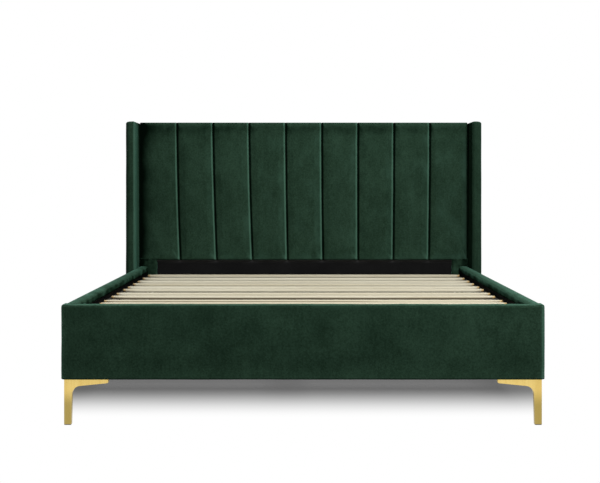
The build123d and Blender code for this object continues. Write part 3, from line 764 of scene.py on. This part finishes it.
def make_channel(number, seed):
    low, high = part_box(f"channel_pad_{number}")
    high.z += channel_rise
    low.z -= channel_drop
    back_share = 1.0 + (high.y - front_board_y) / (front_board_y - low.y)
    through = lines(*pad_depth_grid, end=back_share)
    upward = lines((low.z, edge_grid), (low.z + channel_bottom_roll, channel_grid),
                   (high.z - channel_top_roll, channel_roll_grid), (frame_top - crisp, 2.0 * crisp),
                   (frame_top + crisp, lip_grid), end=high.z)
    piece = gridded_block(f"channel_velvet_{number}", lines(*pad_grid, end=1.0), through, upward)
    share, depth_share, level = read_points(piece).T
    rise = np.clip((level - low.z) / (high.z - low.z), 0.0, 1.0)
    left, right = pad_edges(number, rise)
    left, right = left + seam_clearance, right - seam_clearance
    x = left + (right - left) * share
    seam = np.minimum(x - left, right - x)
    by_wing = (x < (left + right) / 2.0) == (number == 1)
    by_wing = by_wing & (number in outer_shoulder_width)
    width = np.where(by_wing, outer_shoulder_width.get(number, shoulder_width), shoulder_width)
    side_depth = np.where(by_wing, outer_side_depth, seam_side_depth)
    shoulder = np.clip(seam / width, 0.0, 1.0)
    middle = np.clip((seam - width) / ((right - left) / 2.0 - width), 0.0, 1.0)
    bulge = np.sin(shoulder * math.pi / 2.0) ** shoulder_power
    crown = channel_crown * (1.0 - (1.0 - middle) ** 2)
    depth = side_depth + (channel_front_depth - side_depth) * bulge + crown
    forward = np.clip(1.0 - depth_share, 0.0, 1.0)
    up = np.clip((level - (high.z - channel_top_roll)) / channel_top_roll, 0.0, 1.0)
    down = np.clip(((low.z + channel_bottom_roll) - level) / channel_bottom_roll, 0.0, 1.0)
    up_forward, up_rise = roll_over(forward, up)
    down_forward, down_rise = roll_over(forward, down)
    reach = np.where(up > 0.0, up_forward, np.where(down > 0.0, down_forward, forward))
    z = level + (up_rise - up) * channel_top_roll - (down_rise - down) * channel_bottom_roll
    behind = np.clip(depth_share - 1.0, 0.0, None) * (front_board_y - low.y)
    y = front_board_y - depth * reach + behind
    notch = np.sqrt(np.clip(1.0 - (1.0 - np.clip(seam / channel_notch, 0.0, 1.0)) ** 2, 0.0, 1.0))
    z = z - (1.0 - notch) * channel_notch * ease(level, frame_top, high.z)
    at_back = depth_share > back_share - touching
    y = np.where(at_back & (level < frame_top), front_board_y, y)
    write_points(piece, np.column_stack((x, y, z)))
    free = (depth_share < touching) & (seam > held_seam) & (level > low.z + pad_foot_band)
    swell(piece, free)
    select_only(piece)
    subdivision = piece.modifiers.new("finer", "SUBSURF")
    subdivision.levels = subdivision.render_levels = 1
    bpy.ops.object.modifier_apply(modifier=subdivision.name)
    points = read_points(piece)
    x, y, z = points.T
    rise = (z - low.z) / (high.z - low.z)
    left, right = pad_edges(number, rise)
    seam = np.minimum(x - left, right - x)
    ahead = ease(front_board_y - y, *pad_front_span)
    below_top = high.z - z
    puckers = layered(points, seed, channel_puckers) * band(seam, *pad_pucker_band)
    gathers = layered(points, seed + 1, channel_gathers) * fade(below_top, *pad_gather_span)
    push(piece, (puckers + gathers + layered(points, seed + 2, channel_softness)) * ahead)
    # Painted light: highlight and shade beside the seams and in the crease, shade below the top, paler at
    # the hem, each pad's painted light and tone, and random marbling.
    from_left, from_right = x - left, right - x
    seam_highlight = band(from_right, *pad_highlight_band) * (number < pad_count)
    painted_shade = band(from_left, *pad_shade_band)
    if number == 1:
        painted_shade = np.interp(from_left, crease_reach, crease_shade)
    right_shade = pad_right_shade if number < pad_count else last_pad_right_shade
    painted_shade = np.maximum(painted_shade, groove(from_right, right_shade))
    top_band = band(below_top, *pad_top_shade)
    hem = band(z - low.z, *pad_hem_light)
    marbled = layered(points, seed + 3, *channel_marbling)
    paint_pile_and_light(piece, seam_highlight - painted_shade + hem - top_band + pad_light_and_tone[number - 1] + marbled)
    dress(piece, velvet, "velvet", f"channel_pad_{number}", fill=0.9)


def swell(piece, free):
    """Swells a pad's free points under pressure with cloth simulation, within a cap."""
    before = read_points(piece)
    held = piece.vertex_groups.new(name="held")
    held.add([int(place) for place in np.flatnonzero(~free)], 1.0, "REPLACE")
    cloth = piece.modifiers.new("cloth", "CLOTH")
    cloth.settings.quality = swell_quality
    cloth.settings.vertex_group_mass = held.name
    cloth.settings.use_pressure = True
    cloth.settings.uniform_pressure_force = swell_pressure
    cloth.settings.tension_stiffness = cloth.settings.compression_stiffness = swell_stiffness
    cloth.settings.bending_stiffness = swell_bending
    cloth.settings.effector_weights.gravity = 0.0
    cloth.point_cache.frame_start = 1
    cloth.point_cache.frame_end = swell_frames
    for number in range(1, swell_frames + 1):
        bpy.context.scene.frame_set(number)
    select_only(piece)
    bpy.ops.object.modifier_apply(modifier=cloth.name)
    piece.vertex_groups.clear()
    bpy.context.scene.frame_set(1)
    moved = read_points(piece) - before
    length = np.maximum(np.linalg.norm(moved, axis=1, keepdims=True), tiny)
    write_points(piece, before + moved * np.minimum(1.0, swell_cap / length))


for number in range(1, pad_count + 1):
    make_channel(number, 40 + 3 * number)


# Wings: a board each side, padded all round with its velvet drawn to a rounded front edge.
wing_front_round = 0.0205
wing_inner_round = 0.011
wing_top_round = 0.010
wing_back_round = 0.004
wing_top_rounding = 0.012
# Painted shade on each wing's inner face begins this far back, further forward near the top.
wing_crease_foot = 0.996
wing_crease_top = 0.950
wing_crease_width = 0.034
wing_puckers = ((0.03, 0.03, 0.020), 0.0011)
wing_softness = ((0.08, 0.08, 0.13), 0.0008)
wing_gathers = ((0.016, 0.03, 0.06), 0.0009)
wing_pucker_width, wing_pucker_reach, wing_gather_reach = 0.014, 0.05, 0.05
wing_corner_span, wing_side_span, wing_side_start = (0.001, 0.004), (0.001, 0.006), (0.004, 0.02)
right_wing_shade, left_wing_shade, left_wing_shade_span = 0.50, (0.10, 0.40), (0.015, 0.085)
wing_lit_width, wing_lit_reach, wing_lit_highlight = 0.005, 0.020, 0.72
wing_front_reach, wing_front_span, wing_front_shade = 0.004, (0.004, 0.012), 0.18


def make_wing(side, sign, seed):
    low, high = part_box(f"wing_cover_{side}")
    across = edged_lines(low.x, high.x, wing_front_round + hair)
    through = lines((low.y, fine_grid), (low.y + wing_front_round + hair, slack_grid),
                    (high.y - wing_back_round, round_grid), end=high.y)
    upward = lines((low.z, slack_grid), (high.z - wing_top_rounding, fine_grid), end=high.z)
    piece, flat, x, y, z = velvet_block(f"wing_velvet_{side}", across, through, upward)
    left_round, right_round = (wing_inner_round, wing_front_round)[::int(sign)]
    points = rounded(flat, low, high, (left_round, wing_front_round, hair),
                     (right_round, wing_back_round, wing_top_round))
    write_points(piece, points)
    inner = low.x if sign > 0 else high.x
    at_front = fade(y - low.y, 0.0, wing_pucker_reach)
    inner_edge = groove(x - inner, wing_pucker_width) * at_front
    puckers = layered(flat, seed, wing_puckers) * inner_edge
    gathers = layered(flat, seed + 2, wing_gathers) * fade(high.z - z, 0.0, wing_gather_reach)
    push(piece, puckers + layered(flat, seed + 1, wing_softness) + gathers)
    # Painted shade on the inner faces, deepest at the back corner and on the right wing, a painted
    # highlight on the left wing's inner front edge, and painted shade over the front face.
    from_inner, from_front = np.abs(x - inner), y - low.y
    above_base = np.clip((z - low.z) / (high.z - low.z), 0.0, 1.0)
    crease_start = wing_crease_foot + (wing_crease_top - wing_crease_foot) * above_base
    in_corner = ease(y - crease_start, 0.0, wing_crease_width) * fade(from_inner, *wing_corner_span)
    near_shade, far_shade = left_wing_shade
    left_shade = near_shade + far_shade * ease(from_front, *left_wing_shade_span)
    on_side = fade(from_inner, *wing_side_span) * ease(from_front, *wing_side_start)
    shaded_side = (right_wing_shade if sign > 0 else left_shade) * on_side
    lit_edge = groove(from_inner, wing_lit_width) * fade(from_front, 0.0, wing_lit_reach) * wing_lit_highlight
    front = fade(from_front, 0.0, wing_front_reach) * ease(from_inner, *wing_front_span) * wing_front_shade
    paint_pile_and_light(piece, lit_edge * (sign < 0) - front - np.maximum(in_corner, shaded_side))
    dress(piece, velvet, "velvet", f"wing_cover_{side}", fill=0.85)


for (side, sign), seed in zip(sides, (71, 79)):
    make_wing(side, sign, seed)


# Linings: black unwoven cloth stapled inside the rails and the footboard and across the lower
# headboard. It is pulled tight and lies nearly flat.
lining_tones = {
    "black_lining_cloth": ((0.0032, 0.0032, 0.0033, 1.0), (0.0062, 0.0062, 0.0063, 1.0)),
    "charcoal_back_cloth": ((0.016, 0.017, 0.017, 1.0), (0.034, 0.035, 0.035, 1.0)),
    # A near-black copy of the lining cloth, its darkness painted shade, for the rails' and footboard's
    # linings.
    "black_lining_felt": ((0.0005, 0.0005, 0.0005, 1.0), (0.0012, 0.0012, 0.0012, 1.0)),
}
# Painted light: grey that lifts the shade just under the channels' hem.
lining_painted_light = (0.060, 0.060, 0.060, 1.0)
lining_thickness = 0.0009
lining_spacing = 0.012
lining_fold = math.radians(40.0)
lining_rise = 0.002
lining_tuck = 0.0015
lower_lining_tuck = 0.006
lower_lining_right_tuck = 0.014
lower_lining_spacing = 0.006


def make_lining_cloth(name):
    finish = Finish(name, {"Roughness": 0.85, "Specular IOR Level": 0.06})
    fibres = finish.clouds(260.0, detail=3.0, roughness=0.7)
    dots = finish.cells(420.0, 0.35)
    cloudy = finish.clouds(9.0)
    lean = finish.between(fibres * 0.6 + cloudy * 0.4, 0.35, 0.7)
    # Where the 'pile' attribute is set, the cloth is mixed towards the painted light grey.
    colour = finish.mix(finish.brushed(), finish.mix(lean, *lining_tones[name]), lining_painted_light)
    return finish.wear(colour, finish.bump(dots + fibres * 0.4, 0.0003, 0.5))


lining_cloth = make_lining_cloth("black_lining_cloth")
# The rails' and the footboard's linings take the darker copy: painted shade.
lining_painted_shade = make_lining_cloth("black_lining_felt")


def stretched_sheet(name, material, face_axis, face, outward, low, high, seed, node,
                    slot="lining_cloth", hang=0.0, thickness=lining_thickness, spacing=lining_spacing):
    """Makes a tight sheet on a face: a flat grid, slightly uneven, with its own thickness."""
    spans = [axis for axis in range(3) if axis != face_axis]
    size = [high[axis] - low[axis] for axis in spans]
    counts = [max(2, round(span / spacing)) for span in size]
    bpy.ops.mesh.primitive_grid_add(size=2.0, x_subdivisions=counts[0], y_subdivisions=counts[1],
                                    location=(0.0, 0.0, 0.0))
    sheet = bpy.context.object
    sheet.name = name
    grid = read_points(sheet)
    points = np.zeros_like(grid)
    for number, axis in enumerate(spans):
        points[:, axis] = low[axis] + (grid[:, number] + 1.0) / 2.0 * size[number]
    border = 1.0 - np.abs(grid[:, :2]).max(axis=1)
    slack = ease(border, 0.0, 0.3)
    uneven = waves(points, (0.16, 0.16, 0.12), seed) * 0.5 + 0.5
    points[:, face_axis] = face + outward * (thickness + slack * uneven * hang)
    write_points(sheet, points)
    bpy.ops.object.mode_set(mode="EDIT")
    bpy.ops.mesh.select_all(action="SELECT")
    bpy.ops.mesh.normals_make_consistent(inside=False)
    bpy.ops.object.mode_set(mode="OBJECT")
    if sheet.data.polygons[0].normal[face_axis] * outward < 0.0:
        sheet.data.flip_normals()
    wall = sheet.modifiers.new("thickness", "SOLIDIFY")
    wall.thickness = thickness
    wall.offset = -1.0
    bpy.ops.object.modifier_apply(modifier=wall.name)
    bpy.ops.object.shade_smooth_by_angle(angle=lining_fold)
    dress(sheet, material, slot, node)
    return sheet


base_bottom, base_top = (corner.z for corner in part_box("footboard_cover"))
rail_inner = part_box("rail_board_right")[0].x
rail_foot_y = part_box("footboard_board")[1].y
rail_head_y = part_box("rail_board_right")[1].y
lining_low_z = base_bottom + lining_rise
lining_high_z = base_top - rail_lip_depth + lining_tuck
for side, sign in sides:
    stretched_sheet(f"rail_lining_{side}", lining_painted_shade, 0, sign * rail_inner, -sign,
                    (0.0, rail_foot_y + hair, lining_low_z), (0.0, rail_head_y, lining_high_z),
                    90 + sign, "base_linings")
stretched_sheet("footboard_lining", lining_painted_shade, 1, rail_foot_y, 1.0,
                (-rail_inner + hair, 0.0, lining_low_z),
                (rail_inner - hair, 0.0, base_top - lip_depth + lining_tuck), 94,
                "base_linings")
post_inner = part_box("headboard_lower_lining")[1].x
channel_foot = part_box("headboard_lower_lining")[1].z
lower_lining = stretched_sheet("headboard_lower_lining_cloth", lining_cloth, 1,
                               front_board_y, -1.0,
                               (-post_inner - lower_lining_tuck, 0.0, lining_low_z),
                               (post_inner + lower_lining_right_tuck, 0.0,
                                channel_foot + lower_lining_tuck), 95,
                               "headboard_lower_lining",
                               spacing=lower_lining_spacing)
# Painted light: the lower lining is paler just under the channels' hem, where their shadow falls.
under_hem = channel_foot - channel_drop - read_points(lower_lining)[:, 2]
paint_pile_and_light(lower_lining, fade(under_hem, 0.0, 0.016))


# Back of the headboard: a charcoal cloth of the same kind, its edge turned under, with a row of
# wire staples all round.
back_hem = 0.016
back_hem_rise = 0.0008
back_low, back_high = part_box("headboard_back_cover")
charcoal_cloth = make_lining_cloth("charcoal_back_cloth")
back_cloth = stretched_sheet("headboard_back_cloth", charcoal_cloth, 1,
                             back_low.y, 1.0, (back_low.x, 0.0, back_low.z),
                             (back_high.x, 0.0, back_high.z), 96,
                             "headboard_back_cover", hang=0.0012)
cloth_points = read_points(back_cloth)
from_edge = np.minimum(
    np.minimum(cloth_points[:, 0] - back_low.x, back_high.x - cloth_points[:, 0]),
    np.minimum(cloth_points[:, 2] - back_low.z, back_high.z - cloth_points[:, 2]))
cloth_points[:, 1] += np.where(from_edge < back_hem, back_hem_rise, 0.0)
write_points(back_cloth, cloth_points)


# Slats: planed pine, pale and lightly grained, their ends rounded and browned at the tips. The
# slats nearest the foot carry painted shade: a darker tone, darker lower halves on the faces
# towards the foot, and a dark line along the top of those faces.
pine_pale = (0.62, 0.590, 0.47, 1.0)
pine_warm = (0.47, 0.420, 0.30, 1.0)
pine_brown = (0.56, 0.38, 0.16, 1.0)
pine_painted_shade = (0.15, 0.115, 0.065, 1.0)
slat_tip = (0.742, 0.758)
slat_base = 0.358
slat_face = 0.364
shade_line_slant = 0.0045
shade_line_edges = (0.0009, 0.0027)
edge_shade_span = (0.20, 0.27)
front_slats_shade_span = (0.38, 0.42)


def make_pine():
    finish = Finish("pale_pine", {"Roughness": 0.6, "Specular IOR Level": 0.3})
    bands = finish.clouds(1.3, 62.0, 62.0, detail=3.0, roughness=0.6, distortion=0.4)
    fibres = finish.clouds(7.0, 420.0, 420.0, roughness=0.6)
    planks = finish.clouds(0.05, 9.3, 0.0, detail=0.0)
    lean = finish.between(bands * 0.5 + fibres * 0.2 + planks * 0.3, 0.36, 0.66)
    colour = finish.mix(lean, pine_warm, pine_pale)
    across, along, height = finish.parts(finish.place)
    sideways, frontways, upward = finish.facing()
    towards_foot = -1.0 * along
    # Painted shade: the slats nearest the foot are mixed towards the darker warm tone.
    front_slats_shade = finish.between(towards_foot, *front_slats_shade_span)
    colour = finish.mix(front_slats_shade * 0.75, colour, pine_warm)
    # Painted shade on the lower halves of the faces towards the foot, near the foot.
    edge_shade = finish.between(towards_foot, *edge_shade_span)
    faces_foot = finish.between(-1.0 * frontways, 0.35, 0.85)
    lower_half = 1.0 - finish.between(height, slat_base, slat_face)
    colour = finish.mix(faces_foot * edge_shade * lower_half, colour, pine_painted_shade)
    # Painted shade: a thin dark line along the top of those faces.
    line_height = slat_face - finish.between(across, 0.0, 0.5) * shade_line_slant
    shade_line = 1.0 - finish.between(abs(height - line_height), *shade_line_edges)
    colour = finish.mix(shade_line * faces_foot * front_slats_shade, colour, pine_painted_shade)
    # The tips' end faces and their last few millimetres are mixed towards brown.
    cut_end = finish.between(abs(sideways), 0.40, 0.85) * (1.0 - finish.between(upward, 0.6, 1.0))
    browned_tip = finish.between(abs(across) + bands * 0.006, *slat_tip) * 0.55
    colour = finish.mix(finish.between(cut_end * 0.9 + browned_tip, 0.0, 1.0), colour, pine_brown)
    return finish.wear(colour, finish.bump(fibres + bands * 0.5, 0.0004, 0.5))


def cover_nodes(material, *names):
    """Gives solids that stay as they are a better material."""
    for name in names:
        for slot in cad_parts[name].material_slots:
            slot.material = material


cover_nodes(make_pine(), *(f"slat_{number:02d}" for number in range(1, 13)))


# Slat tapes: two black woven straps under the slats' ends. Each slat is stapled to them, and
# they keep the slats a hand's width apart.
webbing_tones = ((0.008, 0.008, 0.009, 1.0), (0.030, 0.030, 0.033, 1.0))
webbing_rib = 150.0
tape_thickness = 0.0010
tape_spacing = 0.0055


def make_webbing():
    finish = Finish("black_webbing", {"Roughness": 0.7, "Specular IOR Level": 0.25})
    ribs = finish.add("ShaderNodeTexWave", {
        "Vector": finish.stretched(1.0, 0.6, 1.0), "Scale": webbing_rib, "Distortion": 0.6},
        bands_direction="DIAGONAL")
    threads = finish.clouds(900.0, 300.0, 300.0)
    lean = finish.between(ribs * 0.6 + threads * 0.4, 0.2, 0.8)
    return finish.wear(finish.mix(lean, *webbing_tones), finish.bump(ribs + threads * 0.5, 0.0003, 0.6))


webbing = make_webbing()
tape_low, tape_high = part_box("slat_tapes")
tape_width = 0.022
for side, inner_x in (("left", tape_low.x), ("right", tape_high.x - tape_width)):
    stretched_sheet(f"slat_tape_{side}", webbing, 2, tape_low.z, 1.0,
                    (inner_x, tape_low.y, 0.0), (inner_x + tape_width, tape_high.y, 0.0), 97,
                    "slat_tapes", "webbing",
                    thickness=tape_thickness, spacing=tape_spacing)


# Legs: cast brass, brushed up and down to a satin finish. An arm of each runs under the base.
brass_tones = ((0.70, 0.50, 0.15, 1.0), (0.80, 0.60, 0.21, 1.0))
brass_shade = (0.56, 0.58, 0.55, 1.0)
brass_shade_heights = (0.062, 0.125)


def make_brass():
    finish = Finish("satin_brass", {"Metallic": 1.0})
    brushed = finish.clouds(240.0, 240.0, 5.0, roughness=0.6)
    bands = finish.clouds(34.0, 34.0, 1.2, detail=1.0)
    lean = finish.between(brushed * 0.35 + bands * 0.65, 0.34, 0.66)
    smear = finish.clouds(16.0)
    # Painted shade: each leg darkens towards grey near the floor.
    height, = finish.parts(finish.place, "Z")
    lower = 1.0 - finish.between(height, *brass_shade_heights)
    painted_shade_tone = finish.mix(lower, white_light, brass_shade)
    colour = finish.mix(1.0, finish.mix(lean, *brass_tones), painted_shade_tone, "MULTIPLY")
    return finish.wear(colour, finish.bump(brushed, 0.0002, 0.3), 0.27 + smear * 0.16)


cover_nodes(make_brass(), *(f"leg_{end}_{side}" for end in ("front", "rear") for side, sign in sides))


# Glides and the levelling foot's pad: moulded black nylon with a fine spark-eroded grain.
nylon_tones = ((0.010, 0.010, 0.011, 1.0), (0.022, 0.022, 0.024, 1.0))


def make_nylon():
    finish = Finish("black_nylon", {"Specular IOR Level": 0.4})
    grain = finish.clouds(1500.0)
    scuffs = finish.clouds(60.0, 60.0, 20.0, detail=3.0, roughness=0.7)
    colour = finish.mix(finish.between(scuffs, 0.45, 0.75), *nylon_tones)
    return finish.wear(colour, finish.bump(grain, 0.0001, 0.4), 0.42 + scuffs * 0.2)


cover_nodes(make_nylon(), "leg_glides", "levelling_pad")


# Centre leg, levelling foot's stem, bolts and screws: zinc-plated steel, cloudy from its bath.
zinc_tones = ((0.42, 0.43, 0.45, 1.0), (0.60, 0.61, 0.63, 1.0))


def make_zinc():
    finish = Finish("zinc_plated_steel", {"Metallic": 1.0})
    spangle = finish.cells(190.0)
    cloud = finish.clouds(26.0, detail=3.0, roughness=0.6)
    drawn = finish.clouds(500.0, 500.0, 12.0, detail=1.0)
    lean = finish.between(spangle * 0.3 + cloud * 0.5 + drawn * 0.2, 0.3, 0.65)
    colour = finish.mix(lean, *zinc_tones)
    return finish.wear(colour, finish.bump(drawn, 0.0001, 0.4), 0.30 + cloud * 0.22)


zinc = make_zinc()
cover_nodes(zinc, "centre_leg", "levelling_stem", "frame_bolts", "wood_screws")


# Staples round the back cloth: flat zinc wire, bent down at both ends, one pressed in every few
# centimetres.
staple_pitch = 0.055
staple_inset = 0.009
staple_length = 0.010
staple_width = 0.0009
staple_wire = 0.0006
staple_bend = 0.0004
staple_cut_shares = (-1.0, -0.84, -0.6, 0.6, 0.84, 1.0)


def make_staple():
    """One staple, lying level at the origin, with its bent ends towards the cloth."""
    half = staple_length / 2.0
    staple = gridded_block("back_staples", [half * share for share in staple_cut_shares],
                           [-staple_wire / 2.0, staple_wire / 2.0],
                           [-staple_width / 2.0, staple_width / 2.0])
    points = read_points(staple)
    points[:, 1] -= staple_bend * ease(np.abs(points[:, 0]), staple_cut_shares[3] * half, half)
    write_points(staple, points)
    return staple


def staple_places():
    """The middle of each staple, and whether it lies upright."""
    left, right = back_low.x + staple_inset, back_high.x - staple_inset
    foot, top = back_low.z + staple_inset, back_high.z - staple_inset
    for start, stop, upright in ((left, right, False), (foot, top, True)):
        count = round((stop - start) / staple_pitch)
        for number in range(count + 1):
            along = start + (stop - start) * number / count
            if upright:
                yield from ((edge, along, True) for edge in (left, right))
            elif 0 < number < count:
                yield from ((along, edge, False) for edge in (foot, top))


staple_y = back_low.y + lining_thickness + back_hem_rise + staple_wire / 2.0
first_staple = make_staple()
level_staple = read_points(first_staple)
staples = []
for x, z, upright in staple_places():
    staple = first_staple.copy()
    staple.data = first_staple.data.copy()
    bpy.context.collection.objects.link(staple)
    turned = level_staple[:, [2, 1, 0]] if upright else level_staple
    write_points(staple, turned + (x, staple_y, z))
    if upright:
        staple.data.flip_normals()
    staples.append(staple)
bpy.data.objects.remove(first_staple)
select_only(*staples)
bpy.ops.object.join()
staples = bpy.context.object
staples.name = "back_staples"
dress(staples, zinc, "zinc_steel")


# Corner brackets and beam hangers: folded steel plate, powder-coated black.
coat_tones = ((0.0085, 0.0085, 0.0090, 1.0), (0.030, 0.030, 0.031, 1.0))


def make_black_coat():
    finish = Finish("black_powder_coat", {"Specular IOR Level": 0.45})
    peel = finish.clouds(420.0, detail=1.0)
    rubbed = finish.clouds(35.0, detail=4.0, roughness=0.7)
    colour = finish.mix(finish.between(rubbed, 0.55, 0.8), *coat_tones)
    return finish.wear(colour, finish.bump(peel, 0.0003, 0.5), 0.36 + peel * 0.16)


cover_nodes(make_black_coat(), "corner_brackets", "beam_hangers")


# Boards inside the padding: birch plywood, its plies showing as stripes along the cut edges.
birch_tones = ((0.40, 0.27, 0.14, 1.0), (0.58, 0.43, 0.25, 1.0))
ply_bands = 100.0
grain_lengths = {"X": (4.0, 70.0, 70.0), "Y": (70.0, 4.0, 70.0), "Z": (70.0, 70.0, 4.0)}


def make_plywood(name, thin_axis, grain_axis):
    finish = Finish(name, {"Roughness": 0.62, "Specular IOR Level": 0.3})
    plies = finish.add("ShaderNodeTexWave", {"Vector": finish.place, "Scale": ply_bands},
                       bands_direction=thin_axis)
    grain = finish.clouds(*grain_lengths[grain_axis], detail=4.0, roughness=0.6,
                          distortion=0.5)
    flecks = finish.clouds(500.0, detail=1.0)
    lean = finish.between(plies * 0.35 + grain * 0.5 + flecks * 0.15, 0.3, 0.75)
    return finish.wear(finish.mix(lean, *birch_tones), finish.bump(grain + plies * 0.3, 0.0004, 0.5))


cover_nodes(make_plywood("plywood_lengthways", "X", "Y"),
            "rail_board_left", "rail_board_right", "wing_board_left", "wing_board_right")
cover_nodes(make_plywood("plywood_crossways", "Y", "X"), "footboard_board", "headboard_front_board")


# Framing timber of the headboard, two stiles and three rails: sawn softwood with knots.
timber_tones = ((0.36, 0.22, 0.10, 1.0), (0.56, 0.41, 0.22, 1.0), (0.13, 0.06, 0.025, 1.0))


def make_timber(name, grain_axis, tones=timber_tones):
    finish = Finish(name, {"Roughness": 0.72, "Specular IOR Level": 0.25})
    rings = finish.clouds(*grain_lengths[grain_axis], detail=3.0, roughness=0.55,
                          distortion=1.2)
    fibres = finish.clouds(*(6.0 * share for share in grain_lengths[grain_axis]),
                           detail=2.0, roughness=0.6)
    knots = finish.cells(5.0)
    dark, pale, knot = tones
    colour = finish.mix(finish.between(rings * 0.7 + fibres * 0.3, 0.33, 0.66), dark, pale)
    colour = finish.mix(1.0 - finish.between(knots, 0.04, 0.10), colour, knot)
    return finish.wear(colour, finish.bump(fibres + rings * 0.4, 0.0006, 0.5))


cover_nodes(make_timber("timber_crossways", "X"),
            "headboard_top_rail", "headboard_middle_rail", "headboard_bottom_rail")
cover_nodes(make_timber("timber_upright", "Z"), "headboard_stile_left", "headboard_stile_right")


# Centre beam and slat bearers: the same timber, coloured near-black as painted shade, so that it
# does not show between the slats.
shade_black_tones = ((0.008, 0.007, 0.006, 1.0), (0.020, 0.017, 0.014, 1.0), (0.004, 0.004, 0.004, 1.0))
cover_nodes(make_timber("stained_timber", "Y", shade_black_tones),
            "centre_beam", "slat_bearer_left", "slat_bearer_right")
